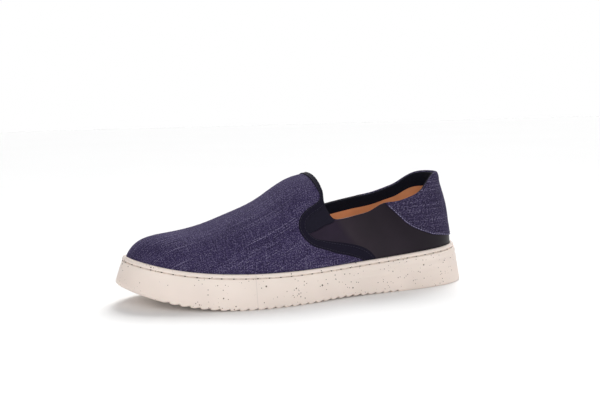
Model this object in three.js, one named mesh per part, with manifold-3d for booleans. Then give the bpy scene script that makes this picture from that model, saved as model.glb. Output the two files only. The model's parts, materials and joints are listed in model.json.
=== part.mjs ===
// Slip-on shoe for the left foot: a lasted cloth upper with elastic gores and a leather quarter,
// standing in a rubber cup sole. Millimetres, +X from heel to toe, +Y to the outer side, +Z up.
import * as THREE from 'three';
import { mergeVertices } from 'three/addons/utils/BufferGeometryUtils.js';
import Module from 'manifold-3d';

// Driving sizes of the last and the sole
const SOLE_LENGTH = 298;
const BALL_WIDTH = 107;
const SOLE_HEIGHT = 26;
const INSTEP_HEIGHT = 97;
const COLLAR_HEIGHT = 93;
const TOE_SPRING = 16;
const ARCH_RISE = 1;

// Sizes of the sole's side and tread
const SIDE_DRAFT = 4;
const RIM_WIDTH = 2.1;
const RIM_ROUND = 0.7;
const FOOT_ROUND = 1.4;
const GROOVE_DROP = 3.2;
const GROOVE_WIDTH = 1.6;
const GROOVE_DEPTH = 0.8;
const HEEL_LEDGE = 0.8;
const TREAD_PITCH = 7;
const TREAD_LAND = 4;
const TREAD_DEPTH = 1.5;

// Thicknesses of the upper's layers
const VAMP_WALL = 2.6;
const VAMP_STEP = 1.3;
const LEATHER = 1;
const COUNTER_PROUD = 0.7;
const TAPE_PROUD = 0.6;
const TAPE_WIDTH = 5.5;
const SIDE_HOLLOW = 1.3;
const INSOLE_THICKNESS = 6;
const INSOLE_DISH = 1.2;
const INSOLE_SHOULDER = 11;
const GAP = 0.3;

// Counts that set how finely the surfaces are divided
const AROUND = 80;
const RIB_ROWS = 11;

// Half widths of the sole on the outer and inner side as shares of BALL_WIDTH, with the bend of its centre line.
// The half width is the share times the sine of the angle around the outline.
const PLAN = [
  { at: 0, outer: 0.636, inner: 0.654, shift: 0 },
  { at: 0.12, outer: 0.517, inner: 0.542, shift: 0 },
  { at: 0.25, outer: 0.441, inner: 0.397, shift: 0 },
  { at: 0.40, outer: 0.415, inner: 0.322, shift: 0.009 },
  { at: 0.55, outer: 0.477, inner: 0.373, shift: 0.014 },
  { at: 0.68, outer: 0.538, inner: 0.523, shift: 0 },
  { at: 0.80, outer: 0.565, inner: 0.586, shift: -0.029 },
  { at: 0.90, outer: 0.598, inner: 0.626, shift: -0.060 },
  { at: 1, outer: 0.634, inner: 0.703, shift: -0.089 },
];

// Rim and floor of the cup as shares of SOLE_HEIGHT, draft as a share of SIDE_DRAFT, ledge of HEEL_LEDGE.
const SIDE = [
  { at: 0, rim: 1.25, floor: 0.52, draft: 1.58, ledge: 1 },
  { at: 0.20, rim: 1.14, floor: 0.48, draft: 1.21, ledge: 0.8 },
  { at: 0.45, rim: 1.01, floor: 0.40, draft: 0.92, ledge: 0 },
  { at: 0.70, rim: 1.03, floor: 0.35, draft: 1.03, ledge: 0 },
  { at: 0.85, rim: 1.15, floor: 0.49, draft: 1.13, ledge: 0 },
  { at: 1, rim: 1.46, floor: 0.91, draft: 1.91, ledge: 0 },
];

// Ridge of the last: its height as a share of INSTEP_HEIGHT and its bend as a share of BALL_WIDTH.
const RIDGE = [
  { at: 0, height: 1.255, shift: 0 },
  { at: 0.20, height: 1.241, shift: 0 },
  { at: 0.35, height: 1.108, shift: -0.009 },
  { at: 0.45, height: 1.005, shift: -0.019 },
  { at: 0.52, height: 0.962, shift: -0.019 },
  { at: 0.60, height: 0.816, shift: -0.019 },
  { at: 0.68, height: 0.701, shift: -0.023 },
  { at: 0.76, height: 0.614, shift: -0.028 },
  { at: 0.84, height: 0.567, shift: -0.037 },
  { at: 0.92, height: 0.547, shift: -0.047 },
  { at: 1, height: 0.511, shift: -0.056 },
];

// Fullness of the last's cross-section: 2 is an ellipse, more is squarer.
const FULLNESS = [
  { at: 0, side: 2.0, top: 2.0 },
  { at: 0.15, side: 1.9, top: 2.0 },
  { at: 0.35, side: 2.0, top: 2.2 },
  { at: 0.50, side: 2.3, top: 2.45 },
  { at: 0.65, side: 2.3, top: 2.3 },
  { at: 0.80, side: 2.3, top: 2.1 },
  { at: 1, side: 2.4, top: 2.2 },
];

// Where the ribs of the last fan out round the toe and the heel, and the ridge point that they end at.
const TOE_FAN = { from: 0.70, pole: 0.86 };
const HEEL_FAN = { from: 0.30, pole: 0.20 };
const FAN_END_SLOPE = 0.35;

// Side view of the topline from the heel to the end of the tab: along as a share of SOLE_LENGTH,
// heights as shares of the rise from SOLE_HEIGHT to COLLAR_HEIGHT on the outer and inner side.
const TOPLINE = [
  { along: -0.10, outer: 0.985, inner: 0.985 },
  { along: 0.030, outer: 0.990, inner: 0.990 },
  { along: 0.075, outer: 1.010, inner: 1.005 },
  { along: 0.106, outer: 0.994, inner: 0.976 },
  { along: 0.132, outer: 0.912, inner: 0.904 },
  { along: 0.153, outer: 0.828, inner: 0.842 },
  { along: 0.178, outer: 0.769, inner: 0.798 },
  { along: 0.211, outer: 0.725, inner: 0.755 },
  { along: 0.248, outer: 0.695, inner: 0.722 },
  { along: 0.289, outer: 0.68, inner: 0.701 },
  { along: 0.329, outer: 0.607, inner: 0.676 },
  { along: 0.366, outer: 0.573, inner: 0.648 },
  { along: 0.403, outer: 0.549, inner: 0.619 },
  { along: 0.43, outer: 0.539, inner: 0.604 },
  { along: 0.445, outer: 0.555, inner: 0.62 },
  { along: 0.455, outer: 0.613, inner: 0.65 },
  { along: 0.463, outer: 0.68, inner: 0.694 },
  { along: 0.467, outer: 0.754, inner: 0.76 },
  { along: 0.464, outer: 0.836, inner: 0.836 },
  { along: 0.464, outer: 0.985, inner: 0.985 },
  { along: 0.467, outer: 1.12, inner: 1.12 },
];

// Side view of the vamp's edge from the ridge, round the tab's corner and the notch, and down into the cup:
// up is a share of the rise from SOLE_HEIGHT to INSTEP_HEIGHT, tape a share of TAPE_WIDTH.
const THROAT = [
  { along: 0.4815, up: 1.2, tape: 1.6 },
  { along: 0.4815, up: 1.02, tape: 1.6 },
  { along: 0.48, up: 0.93, tape: 1.6 },
  { along: 0.476, up: 0.845, tape: 1.5 },
  { along: 0.474, up: 0.789, tape: 1.3 },
  { along: 0.479, up: 0.731, tape: 1.0 },
  { along: 0.49, up: 0.696, tape: 0.95 },
  { along: 0.509, up: 0.661, tape: 0.95 },
  { along: 0.527, up: 0.62, tape: 0.95 },
  { along: 0.54, up: 0.575, tape: 0.95 },
  { along: 0.548, up: 0.521, tape: 1.0 },
  { along: 0.551, up: 0.446, tape: 1.0 },
  { along: 0.544, up: 0.37, tape: 1.0 },
  { along: 0.5295, up: 0.296, tape: 1.0 },
  { along: 0.512, up: 0.245, tape: 1.05 },
  { along: 0.482, up: 0.201, tape: 1.2 },
  { along: 0.447, up: 0.148, tape: 1.5 },
  { along: 0.412, up: 0.11, tape: 1.6 },
  { along: 0.3835, up: 0.07, tape: 1.7 },
  { along: 0.362, up: 0.028, tape: 1.7 },
  { along: 0.339, up: -0.085, tape: 1.7 },
  { along: 0.29, up: -0.4, tape: 1.7 },
];

// Side view of the quarter's front edge over the gore, from above the collar to under the tape.
const QUARTER_FRONT = [
  { along: 0.438, up: 0.563 },
  { along: 0.444, up: 0.493 },
  { along: 0.473, up: 0.452 },
  { along: 0.499, up: 0.41 },
  { along: 0.525, up: 0.383 },
  { along: 0.55, up: 0.355 },
];

// Side view of the counter's lower edge, from above the collar back to the heel.
const COUNTER_EDGE = [
  { along: 0.309, up: 0.76 },
  { along: 0.282, up: 0.645 },
  { along: 0.263, up: 0.569 },
  { along: 0.243, up: 0.494 },
  { along: 0.218, up: 0.399 },
  { along: 0.195, up: 0.339 },
  { along: 0.16, up: 0.28 },
  { along: 0.1225, up: 0.228 },
  { along: 0.093, up: 0.21 },
  { along: 0.055, up: 0.185 },
  { along: -0.10, up: 0.178 },
];

// Bars of the tread run across the sole between these shares of its length.
const TREAD = { from: 0.2585, to: 0.917 };
const ARCH = { from: 0.28, to: 0.56 };
const SPRING_FROM = 0.70;

// Side-view cuts reach this far past the shoe.
const BEYOND = 60;
// The two sides of the topline blend into each other over this half width.
const BLEND = 20;

const wasm = await Module();
wasm.setup();

// Natural cubic spline through one column of a table.
function spline(rows, column) {
  const count = rows.length;
  const at = rows.map((row) => row.at);
  const value = rows.map((row) => row[column]);
  const bend = new Array(count).fill(0);
  const carry = new Array(count).fill(0);
  for (let i = 1; i < count - 1; i++) {
    const ratio = (at[i] - at[i - 1]) / (at[i + 1] - at[i - 1]);
    const pivot = ratio * bend[i - 1] + 2;
    const slopeChange = (value[i + 1] - value[i]) / (at[i + 1] - at[i])
      - (value[i] - value[i - 1]) / (at[i] - at[i - 1]);
    bend[i] = (ratio - 1) / pivot;
    carry[i] = (6 * slopeChange / (at[i + 1] - at[i - 1]) - ratio * carry[i - 1]) / pivot;
  }
  for (let i = count - 2; i > 0; i--) {
    bend[i] = bend[i] * bend[i + 1] + carry[i];
  }
  bend[0] = 0;
  return (share) => {
    let i = 0;
    while (i < count - 2 && share > at[i + 1]) i++;
    const width = at[i + 1] - at[i];
    const b = (share - at[i]) / width;
    const a = 1 - b;
    const curve = ((a ** 3 - a) * bend[i] + (b ** 3 - b) * bend[i + 1]) * width ** 2 / 6;
    return a * value[i] + b * value[i + 1] + curve;
  };
}

const plan = { outer: spline(PLAN, 'outer'), inner: spline(PLAN, 'inner'), shift: spline(PLAN, 'shift') };
const side = {
  rim: spline(SIDE, 'rim'),
  floor: spline(SIDE, 'floor'),
  draft: spline(SIDE, 'draft'),
  ledge: spline(SIDE, 'ledge'),
};
const ridge = { height: spline(RIDGE, 'height'), shift: spline(RIDGE, 'shift') };
const fullness = { side: spline(FULLNESS, 'side'), top: spline(FULLNESS, 'top') };

// The angle t runs from the toe at -PI along the inner side to the heel at 0 and along the outer side to PI.
function shareAt(t) {
  return (1 - Math.cos(t)) / 2;
}

function outline(t) {
  const share = shareAt(t);
  const reach = Math.sin(t) >= 0 ? plan.outer(share) : plan.inner(share);
  return new THREE.Vector2(
    SOLE_LENGTH * share,
    BALL_WIDTH * (plan.shift(share) + Math.sin(t) * reach),
  );
}

function inset(t, distance) {
  const step = 0.001;
  const along = outline(t + step).sub(outline(t - step)).normalize();
  return outline(t).add(new THREE.Vector2(along.y, -along.x).multiplyScalar(distance));
}

function rimHeight(share) {
  return SOLE_HEIGHT * side.rim(share);
}

function floorHeight(share) {
  return SOLE_HEIGHT * side.floor(share);
}

// Underside of the sole: flat under heel and ball, a low arch between them and the toe spring.
function groundHeight(share) {
  const toe = Math.max(0, (share - SPRING_FROM) / (1 - SPRING_FROM));
  const arch = Math.min(1, Math.max(0, (share - ARCH.from) / (ARCH.to - ARCH.from)));
  return TOE_SPRING * toe ** 2 + ARCH_RISE * Math.sin(Math.PI * arch) ** 2;
}

function draftAt(share) {
  return SIDE_DRAFT * side.draft(share);
}

function hermite(u, start, startSlope, end, endSlope) {
  return start * (2 * u ** 3 - 3 * u ** 2 + 1) + startSlope * (u ** 3 - 2 * u ** 2 + u)
    + end * (3 * u ** 2 - 2 * u ** 3) + endSlope * (u ** 3 - u ** 2);
}

// Where along the shoe the rib from angle t meets the ridge.
function ridgeAlong(t) {
  const angle = Math.abs(t);
  const toeFrom = Math.acos(1 - 2 * TOE_FAN.from);
  const heelFrom = Math.acos(1 - 2 * HEEL_FAN.from);
  if (angle > toeFrom) {
    const span = Math.PI - toeFrom;
    const slope = Math.sin(toeFrom) * span / 2;
    const endSlope = FAN_END_SLOPE * (TOE_FAN.pole - TOE_FAN.from);
    return SOLE_LENGTH * hermite((angle - toeFrom) / span, TOE_FAN.from, slope, TOE_FAN.pole, endSlope);
  }
  if (angle < heelFrom) {
    const slope = -Math.sin(heelFrom) * heelFrom / 2;
    const endSlope = FAN_END_SLOPE * (HEEL_FAN.pole - HEEL_FAN.from);
    return SOLE_LENGTH * hermite((heelFrom - angle) / heelFrom, HEEL_FAN.from, slope, HEEL_FAN.pole, endSlope);
  }
  return SOLE_LENGTH * shareAt(angle);
}

// Point of the last's outer surface. v is 0 at the rim and 1 at the ridge, and from 0 to -1 it drops to the cup's floor.
function lastPoint(t, v) {
  const share = shareAt(t);
  const base = inset(t, draftAt(share) + RIM_WIDTH + GAP);
  const rim = rimHeight(share);
  if (v <= 0) {
    return new THREE.Vector3(base.x, base.y, rim + v * (rim - floorHeight(share) - GAP));
  }
  const crest = new THREE.Vector2(ridgeAlong(t), 0);
  crest.y = BALL_WIDTH * ridge.shift(crest.x / SOLE_LENGTH);
  const angle = v * Math.PI / 2;
  const inward = 1 - Math.max(0, Math.cos(angle)) ** (2 / fullness.side(share));
  const upward = Math.sin(angle) ** (2 / fullness.top(share));
  const hollow = SIDE_HOLLOW * Math.sin(Math.PI * Math.min(1, upward / 0.8));
  const point = base.clone().lerp(crest, inward);
  const height = INSTEP_HEIGHT * ridge.height(point.x / SOLE_LENGTH);
  point.add(crest.sub(base).normalize().multiplyScalar(hollow));
  return new THREE.Vector3(point.x, point.y, rim + (height - rim) * upward);
}

function lastNormal(t, v) {
  const step = 0.002;
  const below = Math.max(v - step, 0);
  const above = Math.min(v + step, 1);
  if (v <= 0 || below === 0) {
    const out = inset(t, -1).sub(inset(t, 0));
    return new THREE.Vector3(out.x, out.y, 0);
  }
  const middle = Math.min(v, 1 - step);
  const along = lastPoint(t + step, middle).sub(lastPoint(t - step, middle));
  const up = lastPoint(t, above).sub(lastPoint(t, below));
  return up.cross(along).normalize();
}

function lastOffset(t, v, distance) {
  const normal = lastNormal(t, v);
  if (v === 1) {
    const mirrored = lastNormal(-t, v);
    normal.add(mirrored).normalize();
  }
  return lastPoint(t, v).addScaledVector(normal, distance);
}

// Closed body from rings of points round the shoe, the first capped below and the last, unless it is a ridge, above.
function skin(rings, isRidge) {
  const count = AROUND;
  const index = [];
  const face = (a, b, c) => {
    if (a !== b && b !== c && c !== a) index.push(a, b, c);
  };
  for (let j = 0; j + 1 < rings.length; j++) {
    for (let i = 0; i < count; i++) {
      const next = (i + 1) % count;
      face(j * count + i, (j + 1) * count + i, (j + 1) * count + next);
      face(j * count + i, (j + 1) * count + next, j * count + next);
    }
  }
  const top = (rings.length - 1) * count;
  for (let i = 0; i < count / 2; i++) {
    const mirror = (count - i) % count;
    const mirrorNext = count - i - 1;
    face(i, mirrorNext, mirror);
    face(i, i + 1, mirrorNext);
    if (!isRidge) {
      face(top + i, top + mirror, top + mirrorNext);
      face(top + i, top + mirrorNext, top + i + 1);
    }
  }
  const geometry = new THREE.BufferGeometry().setFromPoints(rings.flat());
  geometry.setIndex(index);
  return toSolid(geometry);
}

function toSolid(geometry) {
  const merged = mergeVertices(geometry, 1e-4);
  return new wasm.Manifold(new wasm.Mesh({
    numProp: 3,
    vertProperties: new Float32Array(merged.attributes.position.array),
    triVerts: new Uint32Array(merged.index.array),
  }));
}

function ring(pointAt) {
  const points = [];
  for (let i = 0; i < AROUND; i++) {
    points.push(pointAt(-Math.PI + 2 * Math.PI * i / AROUND));
  }
  return points;
}

// The last grown or shrunk by a distance, closed at the ridge and standing on the cup's floor or below it.
function lastBody(distance, bottom) {
  const rings = [ring((t) => lastOffset(t, bottom, distance))];
  for (let row = 0; row <= RIB_ROWS; row++) {
    rings.push(ring((t) => lastOffset(t, row / RIB_ROWS, distance)));
  }
  return skin(rings, true);
}

// Body between two sizes of the last.
function shell(outer, inner) {
  return lastBody(outer, -1).subtract(lastBody(inner, -1.4));
}

// Prism across the shoe with a side-view outline of points { x, outer, inner }, both heights alike if there is one.
function across(outlinePoints) {
  const contour = outlinePoints.map((point) => new THREE.Vector2(point.x, point.outer));
  const points = THREE.ShapeUtils.isClockWise(contour) ? [...outlinePoints].reverse() : outlinePoints;
  const flat = points.map((point) => new THREE.Vector2(point.x, point.outer));
  const faces = THREE.ShapeUtils.triangulateShape(flat, []);
  const isBlended = points.some((point) => point.outer !== point.inner);
  const stations = isBlended ? [-1, -0.66, -0.33, 0, 0.33, 0.66, 1].map((u) => u * BLEND) : [];
  const widths = [-BALL_WIDTH, ...stations, BALL_WIDTH];
  const count = points.length;
  const vertices = [];
  for (const y of widths) {
    const weight = THREE.MathUtils.smoothstep(y, -BLEND, BLEND);
    for (const point of points) {
      vertices.push(new THREE.Vector3(point.x, y, point.inner + (point.outer - point.inner) * weight));
    }
  }
  const index = [];
  const last = (widths.length - 1) * count;
  for (const [a, b, c] of faces) {
    index.push(a, b, c, last + a, last + c, last + b);
  }
  for (let j = 0; j + 1 < widths.length; j++) {
    for (let i = 0; i < count; i++) {
      const a = j * count + i;
      const b = j * count + (i + 1) % count;
      index.push(a, a + count, b + count, a, b + count, b);
    }
  }
  const geometry = new THREE.BufferGeometry().setFromPoints(vertices);
  geometry.setIndex(index);
  return toSolid(geometry);
}

function level(points) {
  return points.map((point) => ({ x: point.x, outer: point.y, inner: point.y }));
}

function sideView(rows) {
  const rise = INSTEP_HEIGHT - SOLE_HEIGHT;
  return rows.map((row) => new THREE.Vector2(SOLE_LENGTH * row.along, SOLE_HEIGHT + rise * row.up));
}

// A side-view line moved to its left, seen along the line, by a distance for each row.
function shifted(line, distances) {
  return line.map((point, i) => {
    const before = line[Math.max(i - 1, 0)];
    const after = line[Math.min(i + 1, line.length - 1)];
    const along = after.clone().sub(before).normalize();
    return point.clone().add(new THREE.Vector2(-along.y, along.x).multiplyScalar(distances[i]));
  });
}

// Everything on the toe's side of a line that runs down across the shoe's side.
function aheadOf(line) {
  const toe = SOLE_LENGTH + BEYOND;
  const top = line[0].y + BEYOND;
  const bottom = line[line.length - 1].y - BEYOND;
  const first = new THREE.Vector2(line[0].x, top);
  const last = new THREE.Vector2(line[line.length - 1].x, bottom);
  return across(level([first, ...line, last, new THREE.Vector2(toe, bottom), new THREE.Vector2(toe, top)]));
}

// Everything above and behind a line that runs back to the heel, or under a line that does.
function closedAt(line, height) {
  const last = line[line.length - 1];
  return across(level([...line, new THREE.Vector2(last.x, height), new THREE.Vector2(line[0].x, height)]));
}

// Everything ahead of the throat, which moves back by a share of the tape's width and a clearance.
function aheadOfThroat(tapeShare, clearance) {
  const line = sideView(THROAT);
  return aheadOf(shifted(line, THROAT.map((row) => -(tapeShare * row.tape * TAPE_WIDTH + clearance))));
}

function aboveTopline() {
  const rise = COLLAR_HEIGHT - SOLE_HEIGHT;
  const points = TOPLINE.map((row) => ({
    x: SOLE_LENGTH * row.along,
    outer: SOLE_HEIGHT + rise * row.outer,
    inner: SOLE_HEIGHT + rise * row.inner,
  }));
  const top = INSTEP_HEIGHT + BEYOND;
  const tab = points[points.length - 1].x;
  points.push({ x: tab, outer: top, inner: top }, { x: points[0].x, outer: top, inner: top });
  return across(points);
}

// Everything below the cup's rim with a clearance, along the middle of the shoe.
function belowRim() {
  const line = [];
  for (let share = 0.2; share <= 0.6; share += 0.05) {
    line.push(new THREE.Vector2(SOLE_LENGTH * share, rimHeight(share) + GAP));
  }
  return closedAt(line, -BEYOND);
}

function counterZone(clearance) {
  const line = sideView(COUNTER_EDGE);
  return closedAt(shifted(line, line.map(() => clearance)), INSTEP_HEIGHT + BEYOND);
}

function buildUpper() {
  const vamp = lastBody(0, -1).intersect(aheadOfThroat(0, 0));
  const backing = lastBody(-VAMP_STEP, -1);
  return vamp.add(backing).subtract(lastBody(-VAMP_WALL, -1.4)).subtract(aboveTopline());
}

function buildThroatBinding() {
  const band = aheadOfThroat(1, 0).subtract(aheadOfThroat(0, GAP));
  return shell(TAPE_PROUD, GAP - VAMP_STEP).intersect(band).subtract(aboveTopline()).subtract(belowRim());
}

function buildQuarter() {
  const front = sideView(QUARTER_FRONT);
  const leather = shell(GAP - VAMP_STEP + LEATHER, GAP - VAMP_STEP);
  return leather.subtract(aheadOf(front)).subtract(aheadOfThroat(1, GAP))
    .subtract(counterZone(GAP)).subtract(aboveTopline());
}

function buildHeelCounter() {
  return shell(COUNTER_PROUD, GAP - VAMP_STEP).intersect(counterZone(0)).subtract(aboveTopline());
}

// Point on the cup's outer wall at a height, moved inwards by a depth.
function wallPoint(t, height, depth) {
  const share = shareAt(t);
  const ground = groundHeight(share);
  const lean = draftAt(share) * (height - ground) / (rimHeight(share) - ground);
  const place = inset(t, lean + depth);
  return new THREE.Vector3(place.x, place.y, height);
}

function treadCut() {
  const start = SOLE_LENGTH * TREAD.from;
  const count = Math.floor(SOLE_LENGTH * (TREAD.to - TREAD.from) / TREAD_PITCH);
  const line = [];
  for (let i = 0; i < count; i++) {
    const x = start + i * TREAD_PITCH;
    const depth = groundHeight((x + TREAD_LAND / 2) / SOLE_LENGTH) + TREAD_DEPTH;
    const slope = (TREAD_PITCH - TREAD_LAND) / 4;
    line.push(new THREE.Vector2(x, -BEYOND / 10));
    line.push(new THREE.Vector2(x + slope, depth));
    line.push(new THREE.Vector2(x + TREAD_PITCH - TREAD_LAND - slope, depth));
    line.push(new THREE.Vector2(x + TREAD_PITCH - TREAD_LAND, -BEYOND / 10));
  }
  return closedAt(line, -BEYOND / 5);
}

function buildCupsole() {
  const rims = (t) => rimHeight(shareAt(t));
  const grounds = (t) => groundHeight(shareAt(t));
  const ledges = (t) => HEEL_LEDGE * side.ledge(shareAt(t));
  const insides = (t, height) => {
    const place = inset(t, draftAt(shareAt(t)) + RIM_WIDTH);
    return new THREE.Vector3(place.x, place.y, height);
  };
  const rings = [
    ring((t) => wallPoint(t, grounds(t), FOOT_ROUND)),
    ring((t) => wallPoint(t, grounds(t) + FOOT_ROUND, 0)),
    ring((t) => wallPoint(t, rims(t) - GROOVE_DROP - GROOVE_WIDTH / 2, -ledges(t))),
    ring((t) => wallPoint(t, rims(t) - GROOVE_DROP, GROOVE_DEPTH)),
    ring((t) => wallPoint(t, rims(t) - GROOVE_DROP + GROOVE_WIDTH / 2, 0)),
    ring((t) => wallPoint(t, rims(t) - RIM_ROUND, 0)),
    ring((t) => wallPoint(t, rims(t), RIM_ROUND)),
    ring((t) => insides(t, rims(t))),
    ring((t) => insides(t, floorHeight(shareAt(t)))),
  ];
  return skin(rings, false).subtract(treadCut());
}

function buildInsole() {
  const edge = (t, depth) => inset(t, draftAt(shareAt(t)) + RIM_WIDTH + GAP + VAMP_WALL + GAP + depth);
  const at = (t, depth, height) => {
    const place = edge(t, depth);
    return new THREE.Vector3(place.x, place.y, floorHeight(shareAt(t)) + GAP + height);
  };
  return skin([
    ring((t) => at(t, 0, 0)),
    ring((t) => at(t, 0, INSOLE_THICKNESS)),
    ring((t) => at(t, INSOLE_SHOULDER, INSOLE_THICKNESS - INSOLE_DISH)),
  ], false);
}

function toMesh(name, body, color, roughness) {
  const { vertProperties, triVerts } = body.getMesh();
  const geometry = new THREE.BufferGeometry();
  geometry.setAttribute('position', new THREE.BufferAttribute(vertProperties, 3));
  geometry.setIndex(new THREE.BufferAttribute(triVerts, 1));
  geometry.computeVertexNormals();
  const mesh = new THREE.Mesh(geometry, new THREE.MeshStandardMaterial({ color, roughness, metalness: 0 }));
  mesh.name = name;
  return mesh;
}

const shoe = new THREE.Group();
shoe.add(toMesh('cupsole', buildCupsole(), 0xece0d4, 0.7));
shoe.add(toMesh('insole', buildInsole(), 0x9a6436, 0.6));
shoe.add(toMesh('upper', buildUpper(), 0x443c5f, 0.9));
shoe.add(toMesh('quarter', buildQuarter(), 0x2f2a32, 0.5));
shoe.add(toMesh('heel_counter', buildHeelCounter(), 0x504860, 0.9));
shoe.add(toMesh('throat_binding', buildThroatBinding(), 0x1f1a2b, 0.8));

// The origin lies under the middle of the shoe, on the floor.
const box = new THREE.Box3().setFromObject(shoe);
shoe.position.set(-(box.min.x + box.max.x) / 2, -(box.min.y + box.max.y) / 2, -box.min.z);

export default shoe;
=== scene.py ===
"""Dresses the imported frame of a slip-on shoe for the left foot.

The cloth vamp, elastic gores, leather quarter, cloth counter, bindings, lining, footbed and cup sole are
surfaces of one last: a point is an angle t round the shoe and a share v up a rib of the last. t is 0 at the
heel, runs along the outer side to pi at the toe and along the inner side as a negative angle. v is 0 at the
sole's rim and 1 on the ridge, and below 0 it goes down into the cup. Lengths inside are millimetres from the
heel, and the meshes are metres in the frame's axes.
"""
import json
import math

import bmesh
import bpy
import numpy as np
from mathutils import Matrix, Vector

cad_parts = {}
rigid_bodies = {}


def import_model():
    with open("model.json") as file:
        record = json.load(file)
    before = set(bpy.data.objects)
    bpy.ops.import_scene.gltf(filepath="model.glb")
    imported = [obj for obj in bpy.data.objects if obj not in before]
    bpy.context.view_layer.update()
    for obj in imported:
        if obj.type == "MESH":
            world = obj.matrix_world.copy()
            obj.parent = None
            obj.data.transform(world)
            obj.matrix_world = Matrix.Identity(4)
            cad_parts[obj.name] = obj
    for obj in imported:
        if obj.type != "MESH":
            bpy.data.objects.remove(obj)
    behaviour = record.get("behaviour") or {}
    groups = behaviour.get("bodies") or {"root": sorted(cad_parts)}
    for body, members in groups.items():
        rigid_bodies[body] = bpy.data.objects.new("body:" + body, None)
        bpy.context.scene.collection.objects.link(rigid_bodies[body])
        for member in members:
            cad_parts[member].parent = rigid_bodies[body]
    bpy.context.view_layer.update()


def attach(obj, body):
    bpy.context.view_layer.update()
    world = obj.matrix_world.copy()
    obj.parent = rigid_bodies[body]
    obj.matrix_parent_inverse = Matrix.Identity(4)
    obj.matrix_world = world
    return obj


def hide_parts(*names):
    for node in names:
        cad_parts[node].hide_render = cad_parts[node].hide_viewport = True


for spare in list(bpy.data.objects):
    bpy.data.objects.remove(spare)
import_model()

bl_info = {
    "name": "Slip-on shoe",
    "version": (1, 0),
    "blender": (4, 5, 0),
    "location": "3D View > Sidebar > Shoe",
    "description": "Makes a cloth slip-on shoe with a leather quarter and a speckled cup sole",
    "category": "Add Mesh",
}

MM = 0.001
# The frame's origin lies under the middle of the sole, this far from the heel and from the last's centre line
MIDDLE = np.array([148.89, 0.05, 0.0])

# Half widths of the sole as shares of the ball's width, on the outer and the inner side, and its bend
PLAN = np.array([
    [0.00, 0.636, 0.654, 0.000],
    [0.12, 0.517, 0.542, 0.000],
    [0.25, 0.441, 0.397, 0.000],
    [0.40, 0.415, 0.322, 0.009],
    [0.55, 0.477, 0.373, 0.014],
    [0.68, 0.538, 0.523, 0.000],
    [0.80, 0.565, 0.586, -0.029],
    [0.90, 0.598, 0.626, -0.060],
    [1.00, 0.634, 0.703, -0.089],
])

# Rim and floor of the cup as shares of the sole's height, then shares of its draft and of its heel ledge
SIDE = np.array([
    [0.00, 1.25, 0.52, 1.58, 1.0],
    [0.20, 1.14, 0.48, 1.21, 0.8],
    [0.45, 1.01, 0.40, 0.92, 0.0],
    [0.70, 1.03, 0.35, 1.03, 0.0],
    [0.85, 1.15, 0.49, 1.13, 0.0],
    [1.00, 1.46, 0.91, 1.91, 0.0],
])

# Height of the ridge as a share of the instep's, and its bend as a share of the ball's width
RIDGE = np.array([
    [0.00, 1.255, 0.000],
    [0.20, 1.241, 0.000],
    [0.35, 1.108, -0.009],
    [0.45, 1.005, -0.019],
    [0.52, 0.962, -0.019],
    [0.60, 0.816, -0.019],
    [0.68, 0.701, -0.023],
    [0.76, 0.614, -0.028],
    [0.84, 0.567, -0.037],
    [0.92, 0.547, -0.047],
    [1.00, 0.511, -0.056],
])

# Fullness of the last's side and top: 2 is an ellipse, more is squarer
FULLNESS = np.array([
    [0.00, 2.0, 2.0],
    [0.15, 1.9, 2.0],
    [0.35, 2.0, 2.2],
    [0.50, 2.3, 2.45],
    [0.65, 2.3, 2.3],
    [0.80, 2.3, 2.1],
    [1.00, 2.4, 2.2],
])

# Side view of the topline: along the sole, and shares of the collar's rise on the outer and the inner side
TOPLINE = np.array([
    [-0.100, 0.985, 0.985],
    [0.030, 0.990, 0.990],
    [0.075, 1.010, 1.005],
    [0.106, 0.994, 0.976],
    [0.132, 0.912, 0.904],
    [0.153, 0.828, 0.842],
    [0.178, 0.769, 0.798],
    [0.211, 0.725, 0.755],
    [0.248, 0.695, 0.722],
    [0.289, 0.680, 0.701],
    [0.329, 0.607, 0.676],
    [0.366, 0.573, 0.648],
    [0.403, 0.549, 0.619],
    [0.430, 0.539, 0.604],
    [0.445, 0.555, 0.620],
    [0.455, 0.613, 0.650],
    [0.463, 0.680, 0.694],
    [0.467, 0.754, 0.760],
    [0.464, 0.836, 0.836],
    [0.464, 0.985, 0.985],
    [0.467, 1.120, 1.120],
])
# Its first rows give the collar's height by the place along the sole, its last ones climb to the tab's end
COLLAR_ROWS = 14
CLIMB_FROM = 12
# Shares of the length where the collar ends and the climb starts, and of the collar's rise beside the tab
COLLAR_END = 0.425
CLIMB_START = 0.43
FACING_RISE = 0.76
GORE_RISE = 0.73

# Side view of the vamp's edge: along the sole, share of the instep's rise, and share of the tape's width
THROAT = np.array([
    [0.4815, 1.200, 1.60],
    [0.4815, 1.020, 1.60],
    [0.4800, 0.930, 1.60],
    [0.4760, 0.845, 1.50],
    [0.4740, 0.789, 1.30],
    [0.4790, 0.731, 1.00],
    [0.4900, 0.696, 0.95],
    [0.5090, 0.661, 0.95],
    [0.5270, 0.620, 0.95],
    [0.5400, 0.575, 0.95],
    [0.5480, 0.521, 1.00],
    [0.5510, 0.446, 1.00],
    [0.5440, 0.370, 1.00],
    [0.5295, 0.296, 1.00],
    [0.5120, 0.245, 1.05],
    [0.4820, 0.201, 1.20],
    [0.4470, 0.148, 1.50],
    [0.4120, 0.110, 1.60],
    [0.3835, 0.070, 1.70],
    [0.3620, 0.028, 1.70],
    [0.3390, -0.085, 1.70],
    [0.2900, -0.400, 1.70],
])

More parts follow.
